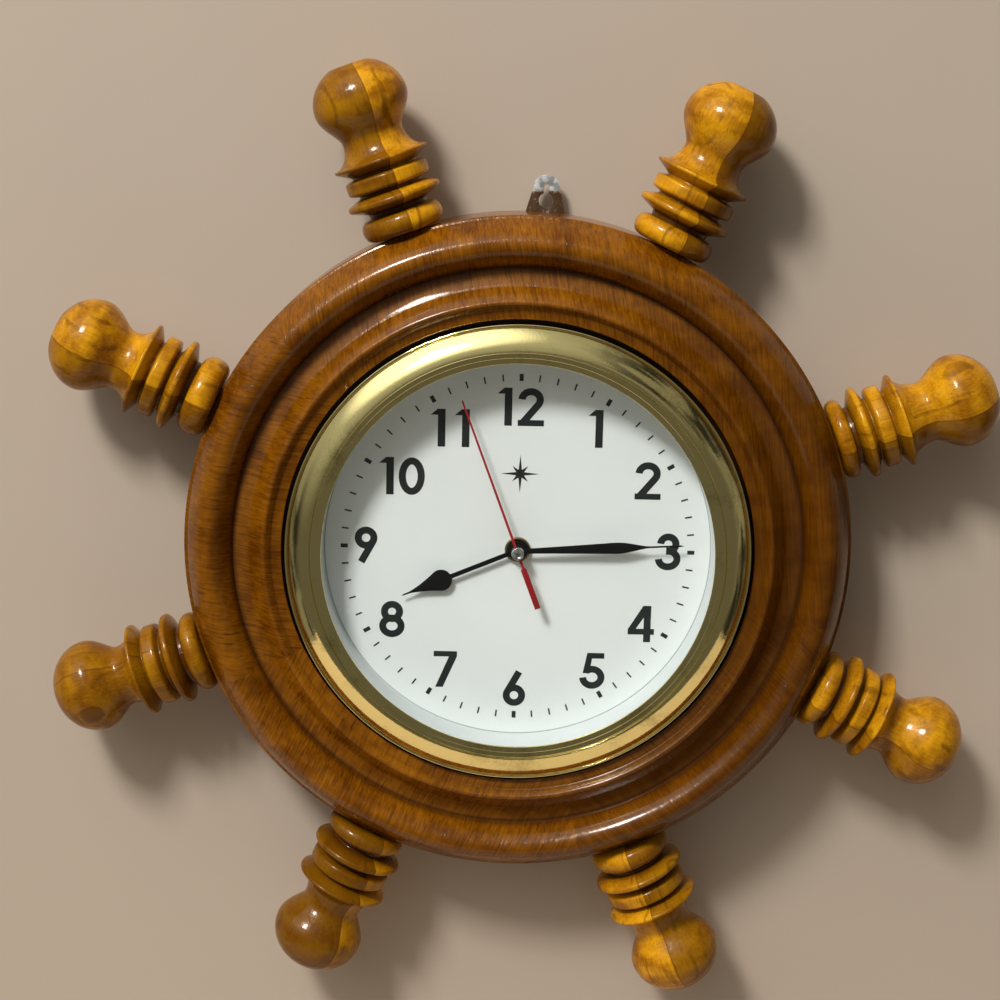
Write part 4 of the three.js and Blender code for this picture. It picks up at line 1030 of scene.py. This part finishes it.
def makeLamps():
    target = axisAt * mm
    for name, lamp in lamps.items():
        light = bpy.data.lights.new(name + "_lamp", "AREA")
        light.size = lamp["size"]
        light.energy = lamp["power"]
        light.color = lamp["colour"]
        holder = newObject(name + "_lamp", light)
        holder.location = target + Vector(lamp["from"])
        holder.rotation_euler = Vector(lamp["from"]).to_track_quat("Z", "Y").to_euler()
    world = bpy.data.worlds.new("room")
    scene.world = world
    world.use_nodes = True
    sky = world.node_tree.nodes["Background"]
    wire = Wire(world.node_tree)
    way = wire.node("ShaderNodeTexCoord", {}, {}, "Generated")
    window = {0: way, 1: worldLight["towards"]}
    near = way.node("ShaderNodeVectorMath", {"operation": "DOT_PRODUCT"}, window, "Value")
    room = way.cloud(2.6, 3.0, 0.6, 0.8).between(0.44, 0.60).tint(worldLight["dim"], worldLight["lit"])
    ahead = (way.part("Y") * -1).between(0.30, 0.55) * (1 - way.part("Z").between(0.10, 0.30))
    behind = way.part("Y").between(-0.12, 0.02)
    # the room is plain straight before the clock and behind its wall, and patchy at its sides
    room = ahead.maths("MAXIMUM", behind).tint(room, worldLight["plain"])
    for start, end, colour in (worldLight["ceiling"], worldLight["window"]):
        room = near.between(start, end).tint(room, colour)
    world.node_tree.links.new(room.socket, sky.inputs["Color"])


cameraView = {"at": (-0.02209, -0.87713, 0.04782), "turn": (77.6627, -3.4780, 0.1089), "lens": 70.17}


def makeCamera():
    camera = bpy.data.cameras.new("photo_view")
    camera.lens = cameraView["lens"]
    camera.clip_start = 0.01
    holder = newObject("photo_view", camera)
    holder.location = cameraView["at"]
    holder.rotation_euler = [math.radians(a) for a in cameraView["turn"]]
    scene.camera = holder


makeCamera()
makeStage()
makeLamps()
scene.view_settings.view_transform = "Standard"

rimWood = woodFinish("rim_varnished", rimWoodLook)
bareWood = woodFinish("rim_bare", bareWoodLook)
handleWood = woodFinish("handle_varnished", handleWoodLook)
brass = brassFinish("brass_polished", brassLook, 1.0)
smallBrass = brassFinish("brass_small", {**brassLook, "gloss": 0.2}, 4.0)
nutBronze = brassFinish("bronze_nut", nutLook, 4.0)
clearGlass = glassFinish("glass_clear")
whitePlastic = paintFinish("plastic_white", (0.60, 0.625, 0.63), (0.57, 0.595, 0.60), 0.42, 0.8)
dialPaint = paintFinish("dial_white", (0.82, 0.85, 0.845), (0.795, 0.825, 0.82), 0.45, 1.6, 0.00001)
inkPaint = paintFinish("dial_ink", (0.012, 0.016, 0.016), (0.020, 0.024, 0.024), 0.42, 2.0, 0.00002,
                       shine=0.3)
# grey for the painted shade round the dial's edge
paintedShadeGrey = paintFinish("painted_shade_grey", (0.30, 0.32, 0.32), (0.26, 0.28, 0.28), 0.6, 2.0, 0.00002)
handBlack = paintFinish("hand_black", (0.003, 0.003, 0.0035), (0.007, 0.007, 0.0075), 0.36, 2.5, 0.00003,
                        shine=0.12)
handRed = paintFinish("hand_red", (0.33, 0.005, 0.011), (0.26, 0.004, 0.009), 0.38, 2.5, 0.00003)
casePlastic = paintFinish("case_black", (0.016, 0.016, 0.018), (0.030, 0.030, 0.032), 0.55, 3.5, 0.00012)
rubberBlack = paintFinish("rubber_black", (0.012, 0.012, 0.012), (0.028, 0.027, 0.026), 0.85, 2.5, 0.00015)
wheelPlastic = paintFinish("wheel_plastic", (0.74, 0.74, 0.68), (0.64, 0.63, 0.57), 0.42, 2.0, 0.00006)
fibreBoard = paintFinish("board_fibre", (0.30, 0.185, 0.095), (0.19, 0.108, 0.052), 0.85, 0.7, 0.00025)
circuitGreen = paintFinish("circuit_green", (0.025, 0.17, 0.05), (0.04, 0.24, 0.08), 0.5, 1.2, 0.0001)
copperWire = paintFinish("wire_copper", (0.48, 0.17, 0.06), (0.36, 0.12, 0.04), 0.38, 4.0, 0.0002, 0.8)
zincSteel = steelFinish("steel_zinc", steelLook)
hangerSteel = steelFinish("steel_hanger", steelLook, varnishLook)
printedSleeve = sleeveFinish("battery_wrap")

makeRim(rimWood, bareWood)
for index in range(len(handle["each"])):
    makeHandle(index, handleWood)
makeBezel(brass)
makeGlass(clearGlass)
makeWhiteWall(whitePlastic)
makeDial(dialPaint, inkPaint, paintedShadeGrey)
makeNut(nutBronze)
makeHands(handBlack, handRed, zincSteel)
makeBack(fibreBoard, zincSteel, hangerSteel, casePlastic, rubberBlack, printedSleeve)

# Pieces that keep their CAD shape
kept = {
    "hour_wheel": wheelPlastic, "motion_wheel": wheelPlastic, "centre_wheel": wheelPlastic,
    "third_wheel": wheelPlastic, "reduction_wheel": wheelPlastic, "minute_arbor": smallBrass,
    "second_wheel": zincSteel, "rotor": zincSteel, "stator": zincSteel, "drive_coil": copperWire,
    "circuit_board": circuitGreen, "quartz_crystal": zincSteel,
}
for node, finish in kept.items():
    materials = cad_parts[node].data.materials
    materials.clear()
    materials.append(finish)
